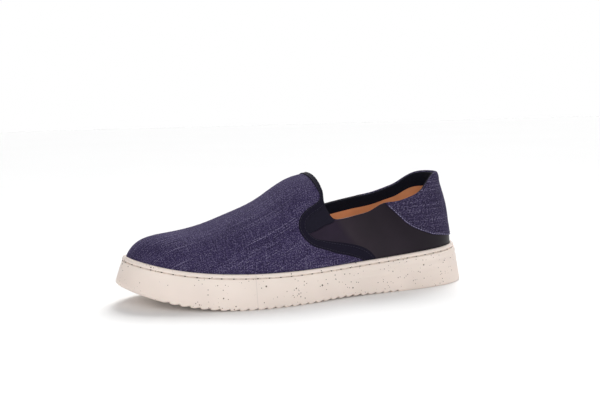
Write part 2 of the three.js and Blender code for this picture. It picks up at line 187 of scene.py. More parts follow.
# Side views of the quarter's front edge and of the counter's and the gore's lower edges, with heights as
# shares of the instep's rise
QUARTER_FRONT = np.array([
    [0.437, 0.610],
    [0.438, 0.563],
    [0.444, 0.493],
    [0.473, 0.452],
    [0.499, 0.410],
    [0.525, 0.383],
    [0.550, 0.355],
])
COUNTER_EDGE = np.array([
    [-0.100, 0.178],
    [0.055, 0.185],
    [0.093, 0.210],
    [0.1225, 0.228],
    [0.160, 0.280],
    [0.195, 0.339],
    [0.218, 0.399],
    [0.243, 0.494],
    [0.263, 0.569],
    [0.282, 0.645],
    [0.309, 0.760],
])
GORE_EDGE = np.array([
    [0.418, 0.490],
    [0.455, 0.410],
    [0.500, 0.345],
    [0.550, 0.310],
])

# Where the ribs fan out round the toe and the heel, the ridge points they end at, and their last slope
TOE_FAN, TOE_POLE = 0.70, 0.86
HEEL_FAN, HEEL_POLE = 0.30, 0.20
FAN_END_SLOPE = 0.35

# Arch, toe spring and tread of the sole along its length
ARCH = (0.28, 0.56)
SPRING_FROM = 0.70
TREAD = (0.2585, 0.917)

# The cup in millimetres: lean of its side, its rim, rise of its arch, its stitch groove and its heel ledge
SIDE_DRAFT = 4.0
RIM_WIDTH = 2.1
RIM_ROUND = 0.7
ARCH_RISE = 1.0
GROOVE_WIDTH = 1.1
GROOVE_DEPTH = 0.85
GROOVE_DROP = 3.2
HEEL_LEDGE = 0.8
# Rounding of the side's foot, and how much more it is at the toe
FOOT_ROUND = 1.4
TOE_ROUND = 2.4

# Pitch of the tread's bars, and how deep a bar is cut at distances from its start
TREAD_PITCH = 7.0
TOOTH = np.array([[0.0, 0.0], [0.35, 1.15], [1.2, 1.15], [3.0, 0.45], [4.4, 0.0]])

# Where the mould's two halves part, ahead of the frame's origin
MOULD_PARTING = 55.0

# Plies of the upper, in millimetres outwards from the last's surface
CLOTH = (0.0, -1.2)
LEATHER = (0.0, -1.05)
COUNTER = (0.7, -0.15)
TAPE = (0.6, -0.9)
GORE = (-0.4, -1.2)
LINING = (-1.3, -2.5)
FACING = (-0.95, -2.9)
ON_TOP = 0.02

# Hollow of the last's side, gap between neighbours, and half width where the outer and inner topline blend
SIDE_HOLLOW = 1.3
CLEARANCE = 0.3
BLEND = 20.0

# Shares down inside the cup: just under its rim, and near its floor
UNDER_RIM = -0.3
TO_FLOOR = -0.95

# The fold behind the gore: where it passes, along and up, and how far forwards it runs for each unit up
FOLD_PLACE = (130.7, 64.0)
FOLD_SLANT = 0.69

# Heights between which the gore meets the vamp's edge, and up to which the tan lining does
GORE_FRONT = (48.0, 75.5)
LINING_FRONT = 68.0
# Share of the instep's rise where the quarter's front edge comes out from under the tape
TAPE_EXIT = 0.372

# How far in from a border the rows of a rounded edge lie, as shares of its radius
EDGE_STEPS = np.array([0.134, 0.5, 1.0])
# Borders of a grid, as its axis and its end on that axis
ALL_SIDES = ((0, 0), (0, 1), (1, 0), (1, 1))

# Scale at which the bands of a wave texture lie one unit apart
WAVE = 0.314

# The photo's camera, in millimetres from the heel
CAMERA_PLACE = (435.87, 697.84, 160.50)
CAMERA_TARGET = (146.66, 0, 74.88)
CAMERA_ROLL = math.radians(-0.79)


def from_hex(text):
    """Linear colour with alpha of an sRGB hex value."""
    value = np.array([int(text[k:k + 2], 16) for k in (0, 2, 4)]) / 255
    linear = np.where(value <= 0.04045, value / 12.92, ((value + 0.055) / 1.055) ** 2.4)
    return (*[float(part) for part in linear], 1.0)


def size_property(name, description, default):
    """Length of the shoe in metres."""
    return bpy.props.FloatProperty(name=name, description=description, default=default, unit="LENGTH")


def colour_property(name, description, text):
    """Colour of the shoe from an sRGB hex value."""
    return bpy.props.FloatVectorProperty(
        name=name, description=description, default=from_hex(text), size=4, subtype="COLOR")


class ShoeSizes(bpy.types.PropertyGroup):
    """Sizes that the last, the sole and the trims are worked out from."""

    sole_length: size_property("Sole length", "Outsole from heel to toe", 0.298)
    ball_width: size_property("Ball width", "Width that the sole's plan is a share of", 0.107)
    sole_height: size_property("Sole height", "Rim of the cup at the waist", 0.026)
    instep_height: size_property("Instep height", "Top of the tab over the floor", 0.097)
    collar_height: size_property("Collar height", "Top of the heel over the floor", 0.093)
    toe_spring: size_property("Toe spring", "Rise of the sole at the toe", 0.016)
    tape_width: size_property("Tape width", "Binding tape at the notch", 0.0055)
    sole_stitch: size_property("Sole stitch", "Length of one stitch in the sole's groove", 0.009)
    seam_stitch: size_property("Seam stitch", "Length of one stitch in the upper", 0.0026)
    thread_pitch: size_property("Thread pitch", "Spacing of the cloth's threads as drawn", 0.0009)


class ShoeColours(bpy.types.PropertyGroup):
    """Colours of the shoe's materials."""

    indigo: colour_property("Indigo", "Ground of the slub cloth", "352d4d")
    slub: colour_property("Slub", "Pale threads of the cloth", "89829f")
    leather: colour_property("Leather", "Smooth dark leather of the quarter", "211a24")
    tape: colour_property("Tape", "Binding round the throat", "151221")
    elastic: colour_property("Elastic", "Gores beside the tab", "191723")
    facing: colour_property("Facing", "Dark cloth inside the collar", "10121c")
    tan: colour_property("Tan", "Lining leather and footbed", "dc986b")
    rubber: colour_property("Rubber", "Off-white of the cup sole", "e7d8ce")
    speck: colour_property("Speck", "Grains in the rubber", "59463a")


def natural_cubic(at, value):
    """A cubic through points, its bends from the three-term equations and none at the ends."""
    width = np.diff(at)
    count = len(at)
    system = np.eye(count)
    load = np.zeros(count)
    inner = np.arange(1, count - 1)
    system[inner, inner - 1] = width[:-1]
    system[inner, inner] = 2 * (width[:-1] + width[1:])
    system[inner, inner + 1] = width[1:]
    slope = np.diff(value) / width
    load[inner] = 6 * np.diff(slope)
    bend = np.linalg.solve(system, load)

    def curve(where):
        where = np.asarray(where, float)
        k = np.clip(np.searchsorted(at, where) - 1, 0, count - 2)
        b = (where - at[k]) / width[k]
        a = 1 - b
        lift = ((a ** 3 - a) * bend[k] + (b ** 3 - b) * bend[k + 1]) * width[k] ** 2 / 6
        return a * value[k] + b * value[k + 1] + lift

    return curve


def columns(rows):
    """One natural cubic through each column of a table against its first."""
    return [natural_cubic(rows[:, 0], rows[:, k]) for k in range(1, rows.shape[1])]


def lengths(points):
    """Length of a path up to each of its points."""
    steps = np.linalg.norm(np.diff(points, axis=0), axis=1)
    return np.concatenate([[0.0], np.cumsum(steps)])


def smooth_line(rows, count=500):
    """Natural cubics through the columns of rows, against the length of the chords of the first two."""
    at = lengths(rows[:, :2])
    where = np.linspace(0, at[-1], count)
    return np.stack([natural_cubic(at, rows[:, k])(where) for k in range(rows.shape[1])], -1)


def share_at(t):
    """Share of the sole's length at an angle round it: half of one less the cosine."""
    return (1 - np.cos(t)) / 2


def angle_at(share):
    """Angle round the sole at a share of its length."""
    return math.acos(1 - 2 * share)


def smoothstep(value, low, high):
    """Rises from 0 to 1 between low and high, level at both."""
    u = np.clip((value - low) / (high - low), 0, 1)
    return u * u * (3 - 2 * u)


def bell(value, width):
    """Rises to 1 at 0 and falls off on both sides, as the exponential of a negative square."""
    return np.exp(-(value / width) ** 2)


def ruled_cubic(u, start, start_slope, end, end_slope):
    """Cubic from start to end with the slopes given there."""
    return (start * (2 * u ** 3 - 3 * u ** 2 + 1) + start_slope * (u ** 3 - 2 * u ** 2 + u)
            + end * (3 * u ** 2 - 2 * u ** 3) + end_slope * (u ** 3 - u ** 2))


class Last:
    """The last and the cup round it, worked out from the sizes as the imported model's solids are."""

    def __init__(self, sizes):
        self.length = sizes.sole_length / MM
        self.ball = sizes.ball_width / MM
        self.sole = sizes.sole_height / MM
        self.instep = sizes.instep_height / MM
        self.collar = sizes.collar_height / MM
        self.spring = sizes.toe_spring / MM
        self.tape_width = sizes.tape_width / MM
        self.outer, self.inner, self.bend = columns(PLAN)
        self.rim_share, self.floor_share, self.draft_share, self.ledge_share = columns(SIDE)
        self.crest, self.crest_bend = columns(RIDGE)
        self.side_fullness, self.top_fullness = columns(FULLNESS)
        self.top_outer, self.top_inner = columns(TOPLINE[:COLLAR_ROWS])
        self.counter_edge, = columns(COUNTER_EDGE)

    def outline(self, t):
        """Plan of the sole: along by the share, across by the bend and the sine times a half width."""
        share = share_at(t)
        reach = np.where(np.sin(t) >= 0, self.outer(share), self.inner(share))
        return np.stack([self.length * share, self.ball * (self.bend(share) + np.sin(t) * reach)], -1)

    def inset(self, t, depth):
        """The plan moved inwards, square to itself, by a depth."""
        step = 0.001
        along = self.outline(t + step) - self.outline(t - step)
        along /= np.linalg.norm(along, axis=-1, keepdims=True)
        inward = np.stack([along[..., 1], -along[..., 0]], -1)
        return self.outline(t) + inward * np.asarray(depth)[..., None]

    def collar_at(self, share):
        """Height at a share of the collar's rise over the sole."""
        return self.sole + (self.collar - self.sole) * share

    def instep_at(self, share):
        """Height at a share of the instep's rise over the sole."""
        return self.sole + (self.instep - self.sole) * share

    def rim(self, share):
        """Height of the cup's rim."""
        return self.sole * self.rim_share(share)

    def floor(self, share):
        """Height of the cup's floor."""
        return self.sole * self.floor_share(share)

    def draft(self, share):
        """How far the cup's side leans in from its foot to its rim."""
        return SIDE_DRAFT * self.draft_share(share)

    def ground(self, share):
        """Underside of the sole: flat, with a square rise to the toe and a squared sine under the arch."""
        toe = np.clip((share - SPRING_FROM) / (1 - SPRING_FROM), 0, None)
        arch = np.clip((share - ARCH[0]) / (ARCH[1] - ARCH[0]), 0, 1)
        return self.spring * toe ** 2 + ARCH_RISE * np.sin(np.pi * arch) ** 2

    def ridge_along(self, t):
        """Where a rib meets the ridge: straight across at the waist, fanned out by cubics at toe and heel."""
        angle = np.arccos(np.clip(np.cos(t), -1, 1))
        toe_from = angle_at(TOE_FAN)
        heel_from = angle_at(HEEL_FAN)
        toe_span = math.pi - toe_from
        toe = ruled_cubic(
            np.clip((angle - toe_from) / toe_span, 0, 1), TOE_FAN, math.sin(toe_from) * toe_span / 2,
            TOE_POLE, FAN_END_SLOPE * (TOE_POLE - TOE_FAN))
        heel = ruled_cubic(
            np.clip((heel_from - angle) / heel_from, 0, 1), HEEL_FAN, -math.sin(heel_from) * heel_from / 2,
            HEEL_POLE, FAN_END_SLOPE * (HEEL_POLE - HEEL_FAN))
        waist = share_at(angle)
        return self.length * np.where(angle > toe_from, toe, np.where(angle < heel_from, heel, waist))

    def ridge_height(self, x):
        """Height of the ridge at a place along the shoe."""
        return self.instep * self.crest(x / self.length)

    def base_and_crest(self, t):
        """Plan points where a rib starts at the rim and where it ends on the ridge."""
        base = self.inset(t, self.draft(share_at(t)) + RIM_WIDTH + CLEARANCE)
        along = self.ridge_along(t)
        crest = np.stack([along, self.ball * self.crest_bend(along / self.length)], -1)
        return base, crest

    def point(self, t, v):
        """Superellipse rib: inwards 1 less a power of the cosine of v's angle, upwards one of its sine."""
        t, v = np.broadcast_arrays(np.asarray(t, float), np.asarray(v, float))
        share = share_at(t)
        base, crest = self.base_and_crest(t)
        rim = self.rim(share)
        turn = np.clip(v, 0, 1) * np.pi / 2
        inward = 1 - np.maximum(np.cos(turn), 0) ** (2 / self.side_fullness(share))
        upward = np.sin(turn) ** (2 / self.top_fullness(share))
        hollow = SIDE_HOLLOW * np.sin(np.pi * np.minimum(1, upward / 0.8))
        reach = crest - base
        plan = base + reach * inward[..., None]
        height = self.ridge_height(plan[..., 0])
        plan = plan + reach / np.linalg.norm(reach, axis=-1, keepdims=True) * hollow[..., None]
        below = rim + v * (rim - self.floor(share) - CLEARANCE)
        z = np.where(v <= 0, below, rim + (height - rim) * upward)
        return np.concatenate([plan, z[..., None]], -1)

    def normal(self, t, v):
        """Cross product of small steps both ways, level at the rim and shared by both sides on the ridge."""
        t, v = np.broadcast_arrays(np.asarray(t, float), np.asarray(v, float))

        def raw(angle):
            step = 0.002
            middle = np.clip(v, step, 1 - step)
            along = self.point(angle + step, middle) - self.point(angle - step, middle)
            up = self.point(angle, middle + step) - self.point(angle, middle - step)
            cross = np.cross(up, along)
            return cross / np.linalg.norm(cross, axis=-1, keepdims=True)

        level = self.inset(t, -1.0 + 0 * t) - self.inset(t, 0 * t)
        level = np.concatenate([level, 0 * level[..., :1]], -1)
        near_rim = smoothstep(v, 0.0, 0.06)[..., None]
        near_ridge = 0.5 * smoothstep(v, 0.95, 1.0)[..., None]
        up = raw(t) * (1 - near_ridge) + raw(-t) * near_ridge
        mixed = level * (1 - near_rim) + up * near_rim
        return mixed / np.linalg.norm(mixed, axis=-1, keepdims=True)

    def skin(self, t, v, distance):
        """Point at a distance outwards from the last."""
        return self.point(t, v) + self.normal(t, v) * np.asarray(distance)[..., None]

    def seek(self, x, z, hand):
        """Angle and share of the points seen at x, z from one side, by Newton's steps on both at once."""
        t = hand * np.arccos(np.clip(1 - 2 * x / self.length, -0.999, 0.999))
        share = share_at(t)
        rim = self.rim(share)
        rise = np.clip((z - rim) / (self.ridge_height(x) - rim), 0, 0.999)
        v = np.where(z < rim, (z - rim) / (rim - self.floor(share) - CLEARANCE),
                     2 / np.pi * np.arcsin(rise ** (self.top_fullness(share) / 2)))
        step = 0.0005
        for _ in range(40):
            here = self.point(t, v)
            back = np.where(v > 0.5, -step, step)
            by_t = (self.point(t + step, v) - here) / step
            by_v = (self.point(t, v + back) - here) / back[..., None]
            miss_x = x - here[..., 0]
            miss_z = z - here[..., 2]
            whole = by_t[..., 0] * by_v[..., 2] - by_t[..., 2] * by_v[..., 0]
            whole = np.where(np.abs(whole) < 1e-6, 1e-6, whole)
            turn = (miss_x * by_v[..., 2] - miss_z * by_v[..., 0]) / whole
            climb = (by_t[..., 0] * miss_z - by_t[..., 2] * miss_x) / whole
            t = t + np.clip(turn, -0.1, 0.1)
            v = np.clip(v + np.clip(climb, -0.08, 0.08), -1, 0.9999)
        return np.stack([t, v], -1)

    def level_on(self, t, height):
        """Share up each rib where its height meets a given function of the point, by halving."""
        low = np.full(t.shape, -0.2)
        high = np.full(t.shape, 0.999)
        for _ in range(40):
            middle = (low + high) / 2
            here = self.point(t, middle)
            under = here[..., 2] < height(here)
            low = np.where(under, middle, low)
            high = np.where(under, high, middle)
        return (low + high) / 2

    def topline_height(self, here):
        """Height of the topline over a point, blended across the shoe from its inner to its outer line."""
        share = here[..., 0] / self.length
        outer = self.top_outer(share)
        inner = self.top_inner(share)
        weight = smoothstep(here[..., 1], -BLEND, BLEND)
        return self.collar_at(inner + (outer - inner) * weight)

    def counter_height(self, here):
        """Height of the counter's lower edge over a point."""
        return self.instep_at(self.counter_edge(here[..., 0] / self.length))

    def side_view(self, rows):
        """Rows of along and height as millimetres, smoothed, with any further columns."""
        line = rows.copy()
        line[:, 0] *= self.length
        line[:, 1] = self.instep_at(rows[:, 1])
        return smooth_line(line)

    def tab_line(self, hand):
        """Side view of the topline's climb to the tab's end, from the gore up."""
        column = 1 if hand > 0 else 2
        rows = TOPLINE[CLIMB_FROM:][:, [0, column]].copy()
        rows[:, 0] *= self.length
        rows[:, 1] = self.collar_at(rows[:, 1])
        return smooth_line(rows)

    def throat_line(self, tape_share, ahead):
        """Side view of the vamp's edge, moved back by a share of the tape's width and ahead by a distance."""
        line = self.side_view(THROAT)
        along = np.gradient(line[:, :2], axis=0)
        along /= np.linalg.norm(along, axis=1, keepdims=True)
        back = tape_share * line[:, 2] * self.tape_width - ahead
        return line[:, :2] + np.stack([along[:, 1], -along[:, 0]], -1) * back[:, None]

    def throat(self, hand, tape_share, ahead, low=UNDER_RIM):
        """Angles and shares of the vamp's edge, or a line beside it, from the ridge down below the rim."""
        line = self.throat_line(tape_share, ahead)
        if tape_share > 0:
            tab = self.tab_line(hand)
            climb = tab[np.argmax(tab[:, 1] > tab[0, 1] + 2):]
            stop = np.interp(line[:, 1], climb[:, 1], climb[:, 0], left=-1e3)
            line = np.stack([np.maximum(line[:, 0], stop), line[:, 1]], -1)
        over = line[:, 1] - self.ridge_height(line[:, 0])
        first = np.argmax(over < 0)
        part = over[first - 1] / (over[first - 1] - over[first])
        top_x = line[first - 1, 0] + part * (line[first, 0] - line[first - 1, 0])
        top = np.array([[hand * angle_at(top_x / self.length), 1.0]])
        found = self.seek(line[first:, 0], line[first:, 1], hand)
        found = np.concatenate([top, found])
        end = np.argmax(found[:, 1] < low)
        part = (found[end - 1, 1] - low) / (found[end - 1, 1] - found[end, 1])
        foot = found[end - 1] + part * (found[end] - found[end - 1])
        return np.concatenate([found[:end], foot[None]])

    def heights(self, curve):
        """Heights along a curve of angles and shares."""
        return self.point(curve[:, 0], curve[:, 1])[:, 2]

    def resample(self, curve, count):
        """Angles and shares at equal steps of length along a curve."""
        at = lengths(self.point(curve[:, 0], curve[:, 1]))
        where = np.linspace(0, at[-1], count)
        return np.stack([np.interp(where, at, curve[:, k]) for k in range(2)], -1)

    def heel_line(self, hand, front, height, count=120):
        """Curve from the heel to an angle at the height of a function of the point."""
        t = hand * np.linspace(0, abs(front), count)
        return np.stack([t, self.level_on(t, height)], -1)

    def wall(self, t, height, depth):
        """Point on the cup's drafted wall at a height, moved inwards by a depth."""
        share = share_at(t)
        ground = self.ground(share)
        lean = self.draft(share) * (height - ground) / (self.rim(share) - ground)
        place = self.inset(t, lean + depth)
        return np.concatenate([place, height[..., None]], -1)


def shoe_last():
    """Last of the sizes that are set in the scene."""
    return Last(bpy.context.scene.shoe_sizes)


def between(first, second, count):
    """Ruled rows from one curve to another."""
    share = np.linspace(0, 1, count)[None, :, None]
    return first[:, None] * (1 - share) + second[:, None] * share


def four_curves(bottom, top, back, front):
    """Grid between four curves: both ruled surfaces added, less the one through the corners."""
    a = np.linspace(0, 1, len(bottom))[:, None, None]
    b = np.linspace(0, 1, len(back))[None, :, None]
    ruled = (1 - b) * bottom[:, None] + b * top[:, None] + (1 - a) * back[None] + a * front[None]
    corners = ((1 - a) * (1 - b) * bottom[0] + a * (1 - b) * bottom[-1]
               + (1 - a) * b * top[0] + a * b * top[-1])
    return ruled - corners


def patch(last, bottom, top, back, front, across, upward):
    """Grid between four curves on the last, with even steps along each and so many points each way."""
    return four_curves(last.resample(bottom, across), last.resample(top, across),
                       last.resample(back, upward), last.resample(front, upward))


def crowd(last, grid, radius, sides):
    """Adds rows for a rounded edge at the named sides, and gives how far in each point lies, 1 where flat."""
    depth = np.ones(grid.shape[:2])
    for axis, end in sides:
        grid = np.swapaxes(grid, 0, axis)
        depth = np.swapaxes(depth, 0, axis)
        if end:
            grid, depth = grid[::-1], depth[::-1]
        border = last.point(grid[0, :, 0], grid[0, :, 1])
        inner = last.point(grid[1, :, 0], grid[1, :, 1])
        gap = np.maximum(np.linalg.norm(inner - border, axis=-1), 1e-3)
        share = np.minimum(radius * EDGE_STEPS[:, None] / gap, np.array([[0.3], [0.6], [0.9]]))
        rows = grid[0] + (grid[1] - grid[0]) * share[..., None]
        mixed = depth[0] + (depth[1] - depth[0]) * share
        depth = np.concatenate([0 * depth[:1], np.minimum(mixed, EDGE_STEPS[:, None]), depth[1:]])
        grid = np.concatenate([grid[:1], rows, grid[1:]])
        if end:
            grid, depth = grid[::-1], depth[::-1]
        grid = np.swapaxes(grid, 0, axis)
        depth = np.swapaxes(depth, 0, axis)
    return grid, depth


def grid_faces(n, m, start=0):
    """Quads of a grid of n by m points numbered row by row."""
    corner = start + (np.arange(n - 1)[:, None] * m + np.arange(m - 1)[None]).ravel()
    return np.stack([corner, corner + m, corner + m + 1, corner + 1], -1)


def placed(name, data):
    """Adds an object with its data to the scene."""
    item = bpy.data.objects.new(name, data)
    bpy.context.scene.collection.objects.link(item)
    return item


def make_piece(name, points, faces, material, node, cloth=None, sharp=None):
    """Closed mesh from points in millimetres, turned outwards by its volume and shaded smooth."""
    mesh = bpy.data.meshes.new(name)
    mesh.vertices.add(len(points))
    mesh.vertices.foreach_set("co", ((points - MIDDLE) * MM).astype(np.float32).ravel())
    mesh.loops.add(faces.size)
    mesh.loops.foreach_set("vertex_index", faces.astype(np.int32).ravel())
    mesh.polygons.add(len(faces))
    mesh.polygons.foreach_set("loop_start", np.arange(0, faces.size, faces.shape[1], dtype=np.int32))
    mesh.update(calc_edges=True)
    if cloth is not None:
        laid = mesh.attributes.new("cloth", "FLOAT_VECTOR", "POINT")
        laid.data.foreach_set("vector", (cloth * MM).astype(np.float32).ravel())
    body = bmesh.new()
    body.from_mesh(mesh)
    bmesh.ops.remove_doubles(body, verts=body.verts, dist=2e-6)
    bmesh.ops.dissolve_degenerate(body, edges=body.edges, dist=1e-6)
    if body.calc_volume(signed=True) < 0:
        bmesh.ops.reverse_faces(body, faces=body.faces)
    body.to_mesh(mesh)
    body.free()
    mesh.polygons.foreach_set("use_smooth", np.ones(len(mesh.polygons), dtype=bool))
    if sharp is not None:
        mesh.set_sharp_from_angle(angle=math.radians(sharp))
    mesh.materials.append(material)
    piece = placed(name, mesh)
    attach(piece, "root")
    if node:
        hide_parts(node)
    return piece


def unrolled(last, t, v):
    """Cloth laid over the last: the plan, moved out along the rib by how far the ridge lies above."""
    here = last.point(t, v)
    base, crest = last.base_and_crest(t)
    out = base - crest
    out /= np.linalg.norm(out, axis=-1, keepdims=True)
    drop = np.maximum(last.ridge_height(here[..., 0]) - here[..., 2], 0)
    return np.concatenate([here[..., :2] + out * drop[..., None], 0 * here[..., :1]], -1)


def shell(last, name, t, v, plies, depth, flat, material, node, turned=True):
    """Shell between two distances from the last, with half its thickness a quarter circle of the depth.

    Flat is the place on the cloth. Turned cloth has the way through the shell as its third coordinate.
    """
    outer, inner = plies
    middle = (outer + inner) / 2
    half = (outer - inner) / 2 * np.sqrt(1 - (1 - depth) ** 2)
    points, cloth = [], []
    for side in (1, -1):
        points.append(last.skin(t, v, middle + side * half).reshape(-1, 3))
        laid = flat.copy()
        if turned:
            laid[..., 2] += outer - middle - side * half
        cloth.append(laid.reshape(-1, 3))
    n, m = t.shape
    faces = np.concatenate([grid_faces(n, m), grid_faces(n, m, n * m)[:, ::-1]])
    return make_piece(name, np.concatenate(points), faces, material, node, np.concatenate(cloth))


def ply(last, name, grid, radius, sides, plies, material, node, relief=None, laid=unrolled):
    """Shell of a grid with half round borders, its distances given or worked out from the place."""
    grid, depth = crowd(last, grid, radius, sides)
    t, v = grid[..., 0], grid[..., 1]
    here = last.point(t, v)
    if callable(plies):
        outer, inner, limit = plies(here)
        depth = np.minimum(depth, limit)
    else:
        outer, inner = plies
    if relief is not None:
        outer = outer + relief(here, t) * depth
    return shell(last, name, t, v, (outer, inner), depth, laid(last, t, v), material, node)


def wrapped(halves):
    """Outer and inner half joined at the heel, columns from one front round to the other."""
    outer, inner = halves
    return np.concatenate([outer[::-1], inner[1:]])


def vamp_grid(last, ahead, low, across, upward):
    """Vamp from the throat over the toe: each half between rim, ridge, throat and toe, joined at the toe."""
    halves = []
    for hand in (1, -1):
        back = last.throat(hand, 0, ahead, low)[::-1]
        toe = hand * math.pi
        rim = np.linspace((back[0, 0], low), (toe, low), 200)
        crest = np.linspace((back[-1, 0], 1), (toe, 1), 200)
        front = np.linspace((toe, low), (toe, 1), 80)
        halves.append(patch(last, rim, crest, back, front, across, upward))
    outer, inner = halves
    inner = inner[::-1].copy()
    inner[..., 0] += 2 * math.pi
    return np.concatenate([outer, inner[1:]])


def topline_curve(last, hand, drop, heel_drop):
    """Line below the topline from the heel to the gore's end, by a drop with its own size at the heel."""

    def height(here):
        """The topline less the drop, which changes over just ahead of the heel."""
        ahead = smoothstep(here[..., 0] / last.length, 0.08, 0.20)
        return last.topline_height(here) - heel_drop - (drop - heel_drop) * ahead

    low = last.heel_line(hand, angle_at(COLLAR_END), height)
    tab = last.tab_line(hand)
    along = np.gradient(tab, axis=0)
    along /= np.linalg.norm(along, axis=1, keepdims=True)
    tab = tab + np.stack([along[:, 1], -along[:, 0]], -1) * drop
    seen = (tab[:, 0] > CLIMB_START * last.length) & (tab[:, 1] < last.collar_at(FACING_RISE))
    high = last.seek(tab[seen, 0], tab[seen, 1], hand)
    return np.concatenate([low, high])


def cut_at(last, curve, height):
    """Part of a climbing curve up to where it meets the height of a function of the point."""
    here = last.point(curve[:, 0], curve[:, 1])
    over = here[:, 2] - height(here)
    end = int(np.argmax(over > 0))
    part = -over[end - 1] / (over[end] - over[end - 1])
    meeting = curve[end - 1] + part * (curve[end] - curve[end - 1])
    return np.concatenate([curve[:end], meeting[None]])


def quarter_front(last, hand):
    """Front border of the quarter: up under the tape from the rim, then back over the gore to the topline."""
    under = last.throat(hand, 0.45, 0.0)[::-1]
    under = under[last.heights(under) < last.instep_at(TAPE_EXIT)]
    front = last.side_view(QUARTER_FRONT)[::-1]
    turn = last.point(under[-1:, 0], under[-1:, 1])[0]
    front = front[front[:, 0] < turn[0] - 0.5]
    over = last.seek(front[:, 0], front[:, 1], hand)
    whole = np.concatenate([under, over])
    return cut_at(last, whole, last.topline_height)


def add(tree, kind, settings=None, links=None):
    """Adds a node to a tree with its settings and its links."""
    node = tree.nodes.new(kind)
    for key, value in (settings or {}).items():
        if isinstance(key, int) or key in node.inputs:
            node.inputs[key].default_value = value
        else:
            setattr(node, key, value)
    for key, source in (links or {}).items():
        tree.links.new(source, node.inputs[key])
    return node


def new_material(name, **sockets):
    """Material with its shader's own sockets set, and its tree and shader."""
    material = bpy.data.materials.new(name)
    material.use_nodes = True
    tree = material.node_tree
    shader = tree.nodes["Principled BSDF"]
    for key, value in sockets.items():
        shader.inputs[key.replace("_", " ")].default_value = value
    return material, tree, shader


def shaded(colour, factor):
    """Colour made lighter or darker by a factor."""
    return (*[min(1.0, part * factor) for part in colour[:3]], 1.0)


def in_object(tree):
    """Place on the piece in its own coordinates, in metres."""
    return add(tree, "ShaderNodeTexCoord").outputs["Object"]


def on_cloth(tree):
    """Place on the cloth as it was laid, in metres."""
    return add(tree, "ShaderNodeAttribute", {"attribute_name": "cloth"}).outputs["Vector"]


def stretched(tree, source, scale):
    """Coordinates multiplied by a scale for each axis."""
    node = add(tree, "ShaderNodeVectorMath", {"operation": "MULTIPLY", 1: scale}, {0: source})
    return node.outputs["Vector"]


def axis_of(tree, source, axis):
    """One coordinate of a place."""
    return add(tree, "ShaderNodeSeparateXYZ", links={"Vector": source}).outputs[axis]


def noise(tree, place, scale, detail, roughness=0.5):
    """Cloudy noise at a place."""
    settings = {"Scale": scale, "Detail": detail, "Roughness": roughness}
    return add(tree, "ShaderNodeTexNoise", settings, {"Vector": place}).outputs["Fac"]


def waves(tree, place, direction, scale, distortion, detail_scale=1.0):
    """Even bands across a direction, a little uneven."""
    settings = {"wave_type": "BANDS", "bands_direction": direction, "Scale": scale, "Distortion": distortion,
                "Detail": 1.0, "Detail Scale": detail_scale}
    return add(tree, "ShaderNodeTexWave", settings, {"Vector": place}).outputs["Fac"]


def maths(tree, operation, first, second):
    """One sum on two values, either of them a socket or a number."""
    node = add(tree, "ShaderNodeMath", {"operation": operation})
    for k, value in enumerate((first, second)):
        if isinstance(value, (int, float)):
            node.inputs[k].default_value = value
        else:
            tree.links.new(value, node.inputs[k])
    return node.outputs["Value"]


def weighted(tree, *parts):
    """Sum of sockets, each times its weight."""
    total = None
    for source, weight in parts:
        part = maths(tree, "MULTIPLY", source, weight)
        total = part if total is None else maths(tree, "ADD", total, part)
    return total


def blended(tree, factor, ground, over, mode="MIX"):
    """One colour laid over another by a factor, each of the three a socket or a value."""
    node = add(tree, "ShaderNodeMix", {"data_type": "RGBA", "blend_type": mode})
    for key, value in ((0, factor), ("A", ground), ("B", over)):
        if isinstance(value, (int, float, tuple)):
            node.inputs[key].default_value = value
        else:
            tree.links.new(value, node.inputs[key])
    return node.outputs["Result"]


def ramp(tree, source, stops):
    """Colour ramp through stops of place and colour."""
    node = add(tree, "ShaderNodeValToRGB", links={"Fac": source})
    band = node.color_ramp
    band.elements[0].position, band.elements[0].color = stops[0]
    band.elements[1].position, band.elements[1].color = stops[-1]
    for place, colour in stops[1:-1]:
        band.elements.new(place).color = colour
    return node.outputs["Color"]


def toned(tree, source, colour, low, high):
    """A colour darker and lighter by the factors of two stops of a socket."""
    return ramp(tree, source, [(place, shaded(colour, factor)) for place, factor in (low, high)])


def painted(tree, shader, colour):
    """Gives the shader its colour."""
    tree.links.new(colour, shader.inputs["Base Color"])


def bumped(tree, shader, height, strength, distance):
    """Gives the shader a relief of a socket's height, at a distance in metres."""
    bump = add(tree, "ShaderNodeBump", {"Strength": strength, "Distance": distance}, {"Height": height})
    tree.links.new(bump.outputs["Normal"], shader.inputs["Normal"])


